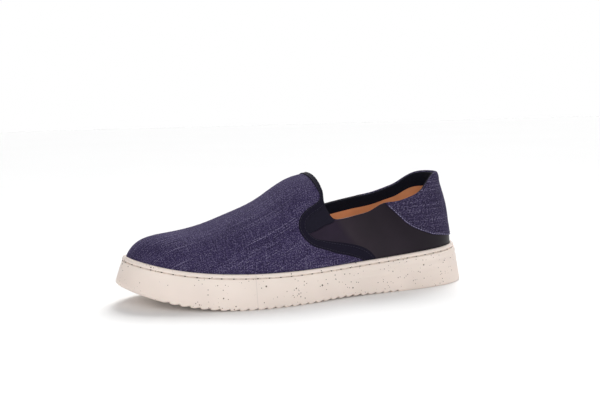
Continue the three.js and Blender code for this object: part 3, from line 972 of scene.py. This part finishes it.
def slub_chambray(name, ground, slub, pitch):
    """Yarn-dyed slub chambray, plain woven: dark warp and weft with uneven pale threads towards the tab."""
    material, tree, shader = new_material(
        name, Roughness=0.9, Sheen_Weight=0.08, Sheen_Roughness=0.5, Specular_IOR_Level=0.12)
    shader.inputs["Sheen Tint"].default_value = from_hex("9a90c0")
    laid = on_cloth(tree)
    # Threads are drawn 0.9 mm apart, about twice the real spacing, so that the weave shows in the render
    thread = 1 / pitch
    through = thread * 0.5

    def threads(along, across, detail, roughness=0.5):
        """Noise with its own scale along and across the shoe."""
        return noise(tree, stretched(tree, laid, (along, across, through)), 1.0, detail, roughness)

    def yarns(direction, along, across):
        """Waves of the threads that lie square to a direction."""
        return waves(tree, stretched(tree, laid, (along, across, 1)), direction, WAVE, 0.4, 0.2)

    fleck = threads(thread * 0.9, thread * 0.9, 1.0)
    patch = noise(tree, stretched(tree, laid, (22, 38, 1)), 1.0, 2.0)
    mix = weighted(tree, (threads(45, thread, 2.0, 0.65), 0.21), (threads(thread, 70, 2.0, 0.65), 0.17),
                   (fleck, 0.54), (patch, 0.08))
    heather = ramp(tree, mix, [
        (0.40, shaded(ground, 0.35)), (0.47, shaded(ground, 0.8)), (0.53, shaded(ground, 1.25)),
        (0.62, shaded(slub, 0.6))])
    # Pale slubs are the thick places of single warp threads, broken into dots where the weft covers them
    dots = maths(tree, "GREATER_THAN", fleck, 0.46)
    streak = maths(tree, "GREATER_THAN", threads(13, thread * 1.1, 1.0, 0.4), 0.675)
    cross = maths(tree, "GREATER_THAN", threads(thread * 1.1, 30, 1.0, 0.4), 0.72)
    short_slub = maths(tree, "MULTIPLY", maths(tree, "MULTIPLY", cross, dots), 0.5)
    pale = maths(tree, "MAXIMUM", maths(tree, "MULTIPLY", streak, dots), short_slub)
    painted(tree, shader, blended(tree, maths(tree, "MULTIPLY", pale, 0.75), heather, tuple(slub)))
    weave = maths(tree, "MULTIPLY", yarns("Y", thread * 0.3, thread), yarns("X", thread, thread * 0.3))
    bumped(tree, shader, maths(tree, "ADD", weave, maths(tree, "MULTIPLY", mix, 1.4)), 0.55, 0.00025)
    return material


def smooth_leather(name, colour, grain=0.0009, tint_and_painted_light=None):
    """Corrected grain leather, drum dyed and pigment finished: fine pebble grain, satin film, faint clouds.

    The tones are stops along the shoe, slanted as the fold behind the gore is: painted shade towards the
    heel, a painted highlight behind the fold and a purple tint on the flap.
    """
    material, tree, shader = new_material(name, Coat_Weight=0.02, Coat_Roughness=0.3, Specular_IOR_Level=0.15)
    place = in_object(tree)
    cloud = noise(tree, place, 35.0, 3.0)
    ground = ramp(tree, cloud, [
        (0.3, shaded(colour, 0.82)), (0.55, tuple(colour)), (0.75, shaded(colour, 1.25))])
    if tint_and_painted_light:
        slant = maths(tree, "SUBTRACT", axis_of(tree, place, "X"),
                      maths(tree, "MULTIPLY", axis_of(tree, place, "Z"), FOLD_SLANT))
        slant = maths(tree, "ADD", slant, maths(tree, "MULTIPLY", cloud, 0.012))
        at = add(tree, "ShaderNodeMapRange", {"From Min": -0.16, "From Max": 0.0}, {"Value": slant})
        # Multiplies in the painted shade towards the heel, the painted highlight behind the fold and the
        # flap's purple tint
        ground = blended(tree, 1.0, ground, ramp(tree, at.outputs["Result"], tint_and_painted_light), "MULTIPLY")
    painted(tree, shader, ground)
    settings = {"Scale": 1 / grain, "feature": "SMOOTH_F1"}
    pebble = add(tree, "ShaderNodeTexVoronoi", settings, {"Vector": place})
    pores = noise(tree, place, 0.5 / grain, 3.0)
    bumped(tree, shader, maths(tree, "ADD", pebble.outputs["Distance"], pores), 0.3, 0.0001)
    gloss = add(tree, "ShaderNodeMapRange", {"To Min": 0.34, "To Max": 0.5}, {"Value": cloud})
    tree.links.new(gloss.outputs["Result"], shader.inputs["Roughness"])
    return material


def twill_tape(name, colour, pitch):
    """Cotton herringbone binding tape, folded: matt, with fine slanting ribs."""
    material, tree, shader = new_material(name, Roughness=0.9, Sheen_Weight=0.03, Specular_IOR_Level=0.12)
    laid = on_cloth(tree)
    ribs = waves(tree, stretched(tree, laid, (1 / pitch, 1 / pitch, 1 / pitch)), "DIAGONAL", 0.35, 0.8)
    fibre = noise(tree, stretched(tree, laid, (900, 900, 900)), 1.0, 3.0)
    tone = weighted(tree, (ribs, 0.35), (fibre, 0.65))
    painted(tree, shader, toned(tree, tone, colour, (0.25, 0.6), (0.75, 1.35)))
    bumped(tree, shader, tone, 0.6, 0.0002)
    return material


def ribbed_elastic(name, colour, pitch):
    """Woven elastic webbing: rubber cores under a filament face, which show as fine upright ribs."""
    material, tree, shader = new_material(name, Roughness=0.85, Sheen_Weight=0.02, Specular_IOR_Level=0.1)
    place = in_object(tree)
    ribs = waves(tree, place, "X", WAVE / pitch, 0.5)
    tone = weighted(tree, (ribs, 0.5), (noise(tree, place, 800.0, 2.0), 0.5))
    painted(tree, shader, toned(tree, tone, colour, (0.2, 0.7), (0.8, 1.3)))
    bumped(tree, shader, tone, 0.6, 0.0002)
    return material


def knitted_lining(name, colour):
    """Brushed textile lining: very dark and matt, with a short nap."""
    material, tree, shader = new_material(name, Roughness=0.95, Sheen_Weight=0.05, Specular_IOR_Level=0.1)
    nap = noise(tree, in_object(tree), 700.0, 3.0)
    painted(tree, shader, toned(tree, nap, colour, (0.3, 0.7), (0.7, 1.4)))
    bumped(tree, shader, nap, 0.5, 0.0002)
    return material


def speckled_rubber(name, colour, speck):
    """Moulded vulcanised rubber with ground grains mixed in: satin, off-white, with sparse dark specks."""
    material, tree, shader = new_material(
        name, Roughness=0.5, IOR=1.52, Subsurface_Weight=0.04, Specular_IOR_Level=0.4)
    place = in_object(tree)
    ground = toned(tree, noise(tree, place, 28.0, 2.0), colour, (0.3, 0.94), (0.7, 1.03))
    clusters = noise(tree, place, 42.0, 1.0)
    # Grains are 0.3 to 0.8 mm, spread one to about 12 square millimetres and thinner outside the clusters
    for scale, limit, level, tint in (
            (250.0, 0.10, 0.37, 1.0), (380.0, 0.10, 0.37, 2.4), (560.0, 0.14, 0.35, 1.4)):
        cells = add(tree, "ShaderNodeTexVoronoi", {"Scale": scale}, {"Vector": place})
        pick = add(tree, "ShaderNodeSeparateColor", links={"Color": cells.outputs["Color"]})
        size = maths(tree, "MULTIPLY", pick.outputs["Green"], limit * 2)
        near = maths(tree, "LESS_THAN", cells.outputs["Distance"], size)
        chosen = maths(tree, "GREATER_THAN", maths(tree, "MULTIPLY", pick.outputs["Red"], clusters), level)
        ground = blended(tree, maths(tree, "MULTIPLY", near, chosen), ground, shaded(speck, tint))
    # The mould's two halves leave a faint upright line where they part
    ahead = maths(tree, "SUBTRACT", axis_of(tree, place, "X"), MOULD_PARTING * MM)
    away = maths(tree, "ABSOLUTE", ahead, 0.0)
    parting = maths(tree, "MULTIPLY", maths(tree, "LESS_THAN", away, 0.0003), 0.22)
    painted(tree, shader, blended(tree, parting, ground, shaded(colour, 0.45)))
    bumped(tree, shader, noise(tree, place, 900.0, 2.0), 0.12, 0.0001)
    return material


def spun_thread(name, colour):
    """Twisted polyester sewing thread: slightly glossy, with a slanting ply."""
    material, tree, shader = new_material(name, Roughness=0.6, Specular_IOR_Level=0.4)
    twist = noise(tree, in_object(tree), 1500.0, 1.0)
    painted(tree, shader, toned(tree, twist, from_hex(colour), (0.3, 0.75), (0.7, 1.15)))
    bumped(tree, shader, twist, 0.5, 0.0001)
    return material


def matt_paint(name, colour):
    """Matt painted board for the floor: pale, with a trace of unevenness."""
    material, tree, shader = new_material(name, Roughness=0.9, Specular_IOR_Level=0.1)
    cloud = noise(tree, in_object(tree), 3.0, 2.0)
    painted(tree, shader, toned(tree, cloud, colour, (0.3, 0.99), (0.7, 1.0)))
    return material


def seam_row(last, line, distance):
    """Path of a stitch row at a distance from the last, and its normals, from a line of angles and shares."""
    path = last.skin(line[:, 0], line[:, 1], np.full(len(line), distance))
    return path, last.normal(line[:, 0], line[:, 1])


def followed(values, at, where):
    """Columns of values given at lengths, read at other lengths."""
    return np.stack([np.interp(where, at, values[:, k]) for k in range(values.shape[1])], -1)


def stitches(name, rows, pitch, length, radius, material, lift=0.12):
    """Threads along paths: tubes whose radius is a rounded bump of their length, lifted midway by a sine."""
    q = np.array([0.0, 0.07, 0.3, 0.7, 0.93, 1.0])
    girth = np.array([0.0, 0.75, 1.0, 1.0, 0.75, 0.0])
    sides = 6
    rings = len(q)
    angle = np.arange(sides) * 2 * np.pi / sides
    points, faces = [], []
    start = 0
    for path, normal in rows:
        at = lengths(path)
        count = int(at[-1] // pitch)
        first = (np.arange(count) + 0.5) * (at[-1] / count) - length / 2
        where = (first[:, None] + length * q[None]).ravel()
        centre = followed(path, at, where)
        run = followed(np.gradient(path, at, axis=0), at, where)
        across = np.cross(run, followed(normal, at, where))
        across /= np.linalg.norm(across, axis=1, keepdims=True)
        out = np.cross(across, run)
        out /= np.linalg.norm(out, axis=1, keepdims=True)
        hump = np.tile(lift * np.sin(np.pi * q), count)[:, None]
        size = np.tile(radius * girth, count)[:, None, None]
        ring = out[:, None] * np.cos(angle)[None, :, None] + across[:, None] * np.sin(angle)[None, :, None]
        tube = (centre + out * hump)[:, None] + ring * size
        points.append(tube.reshape(-1, 3))
        stitch = np.arange(count)[:, None, None] * rings * sides
        cell = (start + stitch + np.arange(rings - 1)[None, :, None] * sides + np.arange(sides)).ravel()
        turn = np.tile(np.where(np.arange(sides) == sides - 1, 1 - sides, 1), count * (rings - 1))
        faces.append(np.stack([cell, cell + turn, cell + turn + sides, cell + sides], -1))
        start += count * rings * sides
    return make_piece(name, np.concatenate(points), np.concatenate(faces), material, None)


def around_sole(last):
    """Angles round the sole, with one at each corner of the tread's bars, and how deep the tread is cut."""
    start = TREAD[0] * last.length
    bars = int((TREAD[1] - TREAD[0]) * last.length // TREAD_PITCH)
    tooth = np.append(TOOTH[:, 0], TREAD_PITCH - 1.2)
    x = (start + np.arange(bars)[:, None] * TREAD_PITCH + tooth).ravel()
    middle = np.arccos(1 - 2 * x / last.length)
    side = np.concatenate([
        np.linspace(0, middle[0], 48)[:-1], middle, np.linspace(middle[-1], math.pi, 56)[1:]])
    share = share_at(side)
    in_gap = np.mod(share * last.length - start + 1e-6, TREAD_PITCH)
    treaded = (share >= TREAD[0] - 1e-9) & (share * last.length < start + bars * TREAD_PITCH)
    notch = np.where(treaded, np.interp(in_gap, TOOTH[:, 0], TOOTH[:, 1]), 0.0)
    return np.concatenate([-side[::-1], side[1:]]), np.concatenate([notch[::-1], notch[1:]])


def cup_wall(last):
    """Section of the cup at each angle: rounded foot, leaning side, groove, lip, rounded rim, inner wall."""
    t, notch = around_sole(last)
    share = share_at(t)
    low = last.ground(share) + notch
    rim = last.rim(share)
    ledge = HEEL_LEDGE * last.ledge_share(share)
    foot = FOOT_ROUND + TOE_ROUND * smoothstep(share, 0.88, 0.99)
    shelf = rim - GROOVE_DROP - GROOVE_WIDTH / 2
    upper = shelf + GROOVE_WIDTH
    rows = []
    for angle in np.linspace(0, np.pi / 2, 5):
        rows.append(last.wall(t, low + foot * (1 - math.cos(angle)), foot * (1 - math.sin(angle))))
    for q in np.linspace(0, 1, 17)[1:]:
        # Two faint moulded lines run round the heel below the groove
        line = 0.45 * bell(q - 0.81, 0.045) + 0.25 * bell(q - 0.56, 0.045)
        height = low + foot + q * (shelf - low - foot)
        rows.append(last.wall(t, height, -ledge * q + line * smoothstep(share, 0.45, 0.30)))
    for q in np.linspace(0, 1, 8)[1:]:
        depth = GROOVE_DEPTH * math.sin(math.pi * q) - ledge * (1 - smoothstep(q, 0.0, 0.35))
        rows.append(last.wall(t, shelf + GROOVE_WIDTH * q, depth))
    for q in np.linspace(0, 1, 6)[1:]:
        height = upper + q * (rim - RIM_ROUND - upper)
        rows.append(last.wall(t, height, -0.28 * math.sin(math.pi * q) + 0 * t))
    for angle in np.linspace(0, np.pi / 2, 5)[1:]:
        depth = RIM_ROUND * (1 - math.cos(angle)) + 0 * t
        rows.append(last.wall(t, rim - RIM_ROUND * (1 - math.sin(angle)), depth))
    for back, height in ((0.3, rim), (0, rim - 0.35), (0, last.floor(share))):
        inside = last.inset(t, last.draft(share) + RIM_WIDTH - back)
        rows.append(np.concatenate([inside, height[:, None]], -1))
    return np.stack(rows, 1)


class MakeSole(bpy.types.Operator):
    """Makes the cup sole with its groove, rim, tread and stitching."""

    bl_idname = "shoe.make_sole"
    bl_label = "Cup sole"

    def execute(self, context):
        last = shoe_last()
        colours = context.scene.shoe_colours
        rubber = speckled_rubber("vulcanised_rubber", colours.rubber, colours.speck)
        wall = cup_wall(last)
        n, m = wall.shape[:2]
        points = [wall.reshape(-1, 3)]
        faces = [grid_faces(n, m)]
        begin = n * m
        half = (n - 1) // 2
        # The underside and the cup's floor each span the section's end from the outer to the inner side
        for row, cells, upward in ((0, 15, False), (m - 1, 2, True)):
            outer = wall[half:, row]
            inner = wall[half::-1, row]
            cap = between(outer, inner, cells)
            points.append(cap.reshape(-1, 3))
            quads = grid_faces(half + 1, cells, begin)
            faces.append(quads if upward else quads[:, ::-1])
            begin += cap.shape[0] * cells
        make_piece("sole", np.concatenate(points), np.concatenate(faces), rubber, "cupsole",
                   sharp=38)
        t = np.linspace(-math.pi, math.pi, 900)
        height = last.rim(share_at(t)) - GROOVE_DROP
        path = last.wall(t, height, 0.5 + 0 * t)
        normal = path - last.wall(t, height, 2 + 0 * t)
        normal /= np.linalg.norm(normal, axis=1, keepdims=True)
        pitch = context.scene.shoe_sizes.sole_stitch / MM
        thread = spun_thread("sole_thread", "d3c4b8")
        # Painted shade: a dark thread stands in for the shadow inside the needle holes
        dark = spun_thread("painted_hole_shadow", "33261f")
        stitches("sole_stitches", [(path, normal)], pitch, pitch - 1.6, 0.3, thread, lift=0.1)
        # The row of holes, dark capsules painted as the shade inside them, starts at the heel, half way round
        middle = len(t) // 2
        shift, turned = [np.concatenate([part[middle:], part[1:middle + 1]]) for part in (path, normal)]
        stitches("painted_hole_shadows", [(shift, turned)], pitch, 1.7, 0.4, dark, lift=0.05)
        return {"FINISHED"}


class MakeVamp(bpy.types.Operator):
    """Makes the cloth vamp with its tab, and its dark lining."""

    bl_idname = "shoe.make_vamp"
    bl_label = "Vamp"

    def execute(self, context):
        last = shoe_last()
        colours = context.scene.shoe_colours
        pitch = context.scene.shoe_sizes.thread_pitch
        cloth = slub_chambray("slub_chambray", colours.indigo, colours.slub, pitch)
        lining = knitted_lining("vamp_lining", colours.facing)

        def relief(here, t):
            """Soft hand-lasted waves, and shallow puckers just over the rim round the toe."""
            x, y, z = here[..., 0], here[..., 1], here[..., 2]
            wave = 0.22 * np.sin(x / 9.0 + 0.6 * np.sin(y / 11.0)) * np.sin(z / 14.0 + y / 19.0)
            toe = smoothstep(x, 0.72 * last.length, 0.9 * last.length)
            return wave + 0.16 * np.sin(t * 46) * bell(z - 34, 6.0) * toe

        # Its lower border lies inside the cup and stays square
        sides = [(0, 0), (0, 1), (1, 0)]
        ply(last, "vamp", vamp_grid(last, -1.0, UNDER_RIM, 120, 96), 0.6, sides, CLOTH, cloth, "upper",
            relief)
        ply(last, "vamp_lining", vamp_grid(last, -0.8, TO_FLOOR, 60, 50), 0.6, sides, LINING, lining, "upper")
        return {"FINISHED"}


class MakeGores(bpy.types.Operator):
    """Makes the elastic gore on each side of the tab."""

    bl_idname = "shoe.make_gores"
    bl_label = "Elastic gores"

    def execute(self, context):
        last = shoe_last()
        # Ribs are 1.1 mm apart, a common pitch for shoe webbing
        elastic = ribbed_elastic("woven_elastic", context.scene.shoe_colours.elastic, 0.0011)
        for hand, name in ((1, "gore_outer"), (-1, "gore_inner")):
            edge = last.throat(hand, 0.3, 0.0)[::-1]
            height = last.heights(edge)
            front = edge[(height > GORE_FRONT[0]) & (height < GORE_FRONT[1])]
            tab = last.tab_line(hand)
            seen = (tab[:, 0] > GORE_EDGE[0, 0] * last.length) & (tab[:, 1] < last.collar_at(GORE_RISE))
            top = last.seek(tab[seen, 0], tab[seen, 1], hand)
            top = np.concatenate([top, front[-1:]])
            low = smooth_line(GORE_EDGE, 60)
            bottom = last.seek(low[:, 0] * last.length, last.instep_at(low[:, 1]), hand)
            bottom = np.concatenate([bottom[:-1], front[:1]])
            grid = patch(last, bottom, top, np.linspace(bottom[0], top[0], 20), front, 30, 24)
            ply(last, name, grid, 0.4, ALL_SIDES, GORE, elastic, "upper")
        return {"FINISHED"}


class MakeQuarter(bpy.types.Operator):
    """Makes the leather quarter that runs from gore to gore round the heel."""

    bl_idname = "shoe.make_quarter"
    bl_label = "Leather quarter"

    def execute(self, context):
        last = shoe_last()
        # Painted shade, darkest at the heel, a painted highlight paler and browner behind the fold, and
        # purple on the flap ahead of it
        tint_and_painted_light = [(0.0, (0.38, 0.28, 0.36, 1)), (0.30, (0.58, 0.46, 0.56, 1)), (0.52, (1.15, 1.12, 1.02, 1)),
                 (0.63, (1.45, 1.42, 1.25, 1)), (0.68, (0.95, 0.78, 1.10, 1)), (1.0, (0.98, 0.78, 1.18, 1))]
        leather = smooth_leather("corrected_grain_leather", context.scene.shoe_colours.leather, tint_and_painted_light=tint_and_painted_light)

        def top_height(here):
            """The topline, or 6 mm above the counter's lower edge where that is lower."""
            return np.minimum(last.topline_height(here), last.counter_height(here) + 6)

        halves = []
        for hand in (1, -1):
            front = quarter_front(last, hand)
            top = last.heel_line(hand, abs(front[-1, 0]), top_height)
            top[-1] = front[-1]
            bottom = np.linspace((0, UNDER_RIM), (front[0, 0], UNDER_RIM), 100)
            back = np.linspace((0, UNDER_RIM), (0, top[0, 1]), 40)
            halves.append(patch(last, bottom, top, back, front, 80, 60))

        def relief(here, t):
            """A soft fold behind the front edge, where the leather bends with the gore, and slack waves."""
            x, z = here[..., 0], here[..., 2]
            behind = x - FOLD_PLACE[0] + (FOLD_PLACE[1] - z) * FOLD_SLANT
            fold = -0.55 * bell(behind, 3.0) + 0.3 * bell(behind + 6, 4.5)
            slack = 0.25 * np.sin(x / 13.0 + z / 17.0) * smoothstep(z, 30, 45)
            return fold * smoothstep(z, 40, 50) + slack

        ply(last, "quarter_leather", wrapped(halves), 0.5, ALL_SIDES, LEATHER, leather, "quarter",
            relief)
        return {"FINISHED"}


class MakeCounter(bpy.types.Operator):
    """Makes the cloth counter on the heel with its double stitch rows."""

    bl_idname = "shoe.make_counter"
    bl_label = "Heel counter"

    def execute(self, context):
        last = shoe_last()
        sizes = context.scene.shoe_sizes
        slub = shaded(context.scene.shoe_colours.slub, 0.72)
        cloth = slub_chambray("counter_chambray", from_hex("322b45"), slub, sizes.thread_pitch)
        halves, rows, tips = [], {0.8: [], 2.4: []}, []
        for hand in (1, -1):
            t = np.linspace(0.02, 1.3, 400)
            tall = last.level_on(hand * t, last.topline_height) - last.level_on(hand * t, last.counter_height)
            tip = t[np.argmax(tall < 0.012)]
            bottom = last.heel_line(hand, tip, last.counter_height)
            upper = last.heel_line(hand, tip, last.topline_height)
            tips.append(last.point(upper[-1, 0], upper[-1, 1])[0])
            back = np.linspace((0, bottom[0, 1]), (0, upper[0, 1]), 40)
            halves.append(patch(last, bottom, upper, back, np.linspace(bottom[-1], upper[-1], 20), 80, 50))
            for above, lines in rows.items():
                lines.append(last.heel_line(
                    hand, tip - 0.02 * above, lambda here: last.counter_height(here) + above))

        def relief(here, t):
            """Slack wrinkles across the heel cloth, level and fading towards its edges."""
            x, z = here[..., 0], here[..., 2]
            crease = bell(z - 68.8 + (x - 60) * 0.05, 1.8) * bell(x - 60, 17.0)
            second = bell(z - 71.5 - (x - 36) * 0.12, 2.4) * bell(x - 34, 14.0)
            return -0.55 * crease - 0.4 * second + 0.2 * np.sin(z / 5.0 + x / 16.0)

        def laid(last, t, v):
            """Cloth round the heel: length round the rim and height."""
            return np.stack([t * 62.0, last.point(t, v)[..., 2], 0 * t], -1)

        def folded(here):
            """The cloth swells below the collar and its inner face goes deeper there, less at its tips."""
            under = last.topline_height(here) - here[..., 2]
            tip = np.where(here[..., 1] > 0, tips[0], tips[1])
            whole = 1 - smoothstep(here[..., 0], tip - 14, tip - 1)
            swell = 0.9 * whole * (1 - smoothstep(under, 3.5, 9.0))
            fold = 1.2 * whole * (1 - smoothstep(under, 2.6, 4.6))
            return COUNTER[0] + swell, COUNTER[1] - fold, np.clip(under / 1.6, 0, 1)

        ply(last, "counter_cloth", wrapped(halves), 0.4, ALL_SIDES, folded, cloth, "heel_counter",
            relief, laid)
        pitch = sizes.seam_stitch / MM
        names = (("counter_stitches", "9a96b4"), ("counter_inner_stitches", "4a4560"))
        for (name, tint), lines in zip(names, rows.values()):
            row = seam_row(last, wrapped(lines), COUNTER[0] + ON_TOP)
            thread = spun_thread(name.replace("stitches", "thread"), tint)
            stitches(name, [row], pitch, pitch * 0.7, 0.22, thread)
        return {"FINISHED"}


class MakeBinding(bpy.types.Operator):
    """Makes the tape that binds the vamp's edge, with its two tone-on-tone stitch rows."""

    bl_idname = "shoe.make_binding"
    bl_label = "Throat binding"

    def execute(self, context):
        last = shoe_last()
        tape = twill_tape("twill_tape", context.scene.shoe_colours.tape, 0.0007)
        halves = []
        rows = {0.16: [], 0.80: []}
        for hand in (1, -1):
            front = last.resample(last.throat(hand, 0, 0.5, -0.25), 150)
            back = last.resample(last.throat(hand, 1, 0.0, -0.25), 150)
            halves.append(between(front, back, 9))
            for share, lines in rows.items():
                lines.append(front * (1 - share) + back * share)
        grid = np.concatenate([halves[0][::-1], halves[1]])
        height = last.point(grid[..., 0], grid[..., 1])[..., 2].min(1)
        # The free tab's edge is wrapped whole, so the inner ply goes deeper there
        inner = TAPE[1] - 1.9 * smoothstep(height, 74, 80)
        inner = np.repeat(inner[:, None, None], grid.shape[1], 1)
        grid, depth = crowd(last, np.concatenate([grid, inner], -1), 0.7, [(1, 0), (1, 1), (0, 0), (0, 1)])
        t, v = grid[..., 0], grid[..., 1]
        shell(last, "throat_tape", t, v, (TAPE[0], grid[..., 2]), depth, last.point(t, v), tape,
              "throat_binding", turned=False)
        thread = spun_thread("tape_thread", "1d1a2b")
        paths = [seam_row(last, wrapped(lines), TAPE[0] + ON_TOP) for lines in rows.values()]
        pitch = context.scene.shoe_sizes.seam_stitch / MM
        stitches("tape_stitches", paths, pitch, pitch * 0.74, 0.17, thread)
        return {"FINISHED"}


class MakeLining(bpy.types.Operator):
    """Makes the tan lining of the quarter, the dark facing inside the collar and the footbed."""

    bl_idname = "shoe.make_lining"
    bl_label = "Lining and footbed"

    def execute(self, context):
        last = shoe_last()
        colours = context.scene.shoe_colours
        tan = smooth_leather("vegetable_tanned_lining", colours.tan, 0.0007)
        dark = knitted_lining("collar_facing", colours.facing)
        facing, lining = [], []
        for hand in (1, -1):
            top = topline_curve(last, hand, 0.4, 0.5)
            low = topline_curve(last, hand, 10.5, 13.5)
            back = np.linspace(low[0], top[0], 20)
            facing.append(patch(last, low, top, back, np.linspace(low[-1], top[-1], 20), 110, 16))
            edge = last.throat(hand, 0, 3.0, TO_FLOOR)[::-1]
            front = edge[last.heights(edge) < LINING_FRONT]
            seam = topline_curve(last, hand, 8.0, 11.0)
            seam = np.concatenate([seam[np.abs(seam[:, 0]) < angle_at(CLIMB_START)], front[-1:]])
            bottom = np.linspace((0, TO_FLOOR), (front[0, 0], TO_FLOOR), 100)
            back = np.linspace((0, TO_FLOOR), (0, seam[0, 1]), 40)
            lining.append(patch(last, bottom, seam, back, front, 80, 40))
        ply(last, "quarter_lining", wrapped(lining), 0.5, ALL_SIDES, LINING, tan, "upper")
        ply(last, "collar_facing", wrapped(facing), 0.9, ALL_SIDES, FACING, dark, "upper")
        t = np.linspace(0, math.pi, 110)
        depth = last.draft(share_at(t)) + RIM_WIDTH + CLEARANCE + 2.9
        outer = last.inset(t, depth)
        inner = last.inset(-t, depth)
        plan = between(outer, inner, 31)
        rim_gap = np.minimum(*[np.linalg.norm(plan - edge[:, None], axis=-1) for edge in (outer, inner)])
        floor = last.floor(plan[..., 0] / last.length) + CLEARANCE
        top = floor + 6 - 1.2 * smoothstep(rim_gap, 0, 11) - 0.8 * np.exp(-rim_gap / 0.5)
        upper, lower = [np.concatenate([plan, height[..., None]], -1) for height in (top, floor)]
        n, m = upper.shape[:2]
        walls = [np.stack([lower[:, end], upper[:, end]], 1) for end in (0, -1)]
        points = [part.reshape(-1, 3) for part in (upper, lower, *walls)]
        faces = [grid_faces(n, m), grid_faces(n, m, n * m)[:, ::-1],
                 grid_faces(n, 2, 2 * n * m), grid_faces(n, 2, 2 * n * m + 2 * n)[:, ::-1]]
        make_piece("footbed", np.concatenate(points), np.concatenate(faces), tan, "insole",
                   sharp=50)
        return {"FINISHED"}


class MakeStage(bpy.types.Operator):
    """Sets the pale floor, the soft lights and the camera."""

    bl_idname = "shoe.make_stage"
    bl_label = "Stage"

    def execute(self, context):
        mesh = bpy.data.meshes.new("floor")
        corners = [(-4, -4, 0), (4, -4, 0), (4, 4, 0), (-4, 4, 0)]
        mesh.from_pydata(corners, [], [(0, 1, 2, 3)])
        mesh.materials.append(matt_paint("matt_paint", from_hex("fafaf9")))
        placed("floor", mesh)
        # A wide soft light from above the heel throws the shadow forwards, and a panel lights the outer side
        for name, kind, place, power in (
            ("overhead", "SUN", (-0.5, -0.7, 1.05), 2.6),
            ("panel", "AREA", (0.35, 1.3, 0.65), 8.0),
        ):
            light = bpy.data.lights.new(name, kind)
            light.energy = power
            if kind == "SUN":
                light.angle = math.radians(38)
            else:
                light.size = 0.8
            lamp = placed(name, light)
            lamp.location = place
            lamp.rotation_euler = (Vector((0, 0, 0.04)) - Vector(place)).to_track_quat("-Z", "Y").to_euler()
        world = bpy.data.worlds.new("studio")
        context.scene.world = world
        world.use_nodes = True
        # White low down and dimmer overhead, as in a studio with a white sweep
        tree = world.node_tree
        up = axis_of(tree, add(tree, "ShaderNodeTexCoord").outputs["Generated"], "Z")
        sky = ramp(tree, up, [(0.12, (1, 1, 1, 1)), (0.4, (0.34, 0.34, 0.35, 1))])
        tree.links.new(sky, tree.nodes["Background"].inputs["Color"])
        camera = bpy.data.cameras.new("camera")
        camera.lens = 55.83
        camera.sensor_width = 36
        eye = placed("camera", camera)
        place, target = [(np.array(spot) - MIDDLE) * MM for spot in (CAMERA_PLACE, CAMERA_TARGET)]
        forward = Vector(target - place).normalized()
        right = forward.cross(Vector((0, 0, 1))).normalized()
        up = right.cross(forward)
        turn, rise = math.cos(CAMERA_ROLL), math.sin(CAMERA_ROLL)
        right, up = right * turn + up * rise, up * turn - right * rise
        frame_axes = Matrix((right, up, -forward)).transposed().to_4x4()
        eye.matrix_world = Matrix.Translation(Vector(place)) @ frame_axes
        context.scene.camera = eye
        # Plain sRGB, so that the paper-white floor and the base colours come out as they are
        context.scene.view_settings.view_transform = "Standard"
        return {"FINISHED"}


MAKERS = (MakeSole, MakeVamp, MakeGores, MakeQuarter, MakeCounter, MakeBinding, MakeLining, MakeStage)


class ShoePanel(bpy.types.Panel):
    """Sizes, colours and makers of the shoe."""

    bl_idname = "VIEW3D_PT_shoe"
    bl_label = "Slip-on shoe"
    bl_space_type = "VIEW_3D"
    bl_region_type = "UI"
    bl_category = "Shoe"

    def draw(self, context):
        for group in (context.scene.shoe_sizes, context.scene.shoe_colours):
            for name in group.__annotations__:
                self.layout.prop(group, name)
        for maker in MAKERS:
            self.layout.operator(maker.bl_idname)


CLASSES = (ShoeSizes, ShoeColours, *MAKERS, ShoePanel)


def register():
    for part in CLASSES:
        bpy.utils.register_class(part)
    bpy.types.Scene.shoe_sizes = bpy.props.PointerProperty(type=ShoeSizes)
    bpy.types.Scene.shoe_colours = bpy.props.PointerProperty(type=ShoeColours)


def unregister():
    del bpy.types.Scene.shoe_colours
    del bpy.types.Scene.shoe_sizes
    for part in reversed(CLASSES):
        bpy.utils.unregister_class(part)


def main():
    register()
    bpy.ops.shoe.make_sole()
    bpy.ops.shoe.make_vamp()
    bpy.ops.shoe.make_gores()
    bpy.ops.shoe.make_quarter()
    bpy.ops.shoe.make_counter()
    bpy.ops.shoe.make_binding()
    bpy.ops.shoe.make_lining()
    bpy.ops.shoe.make_stage()


if __name__ == "__main__":
    main()
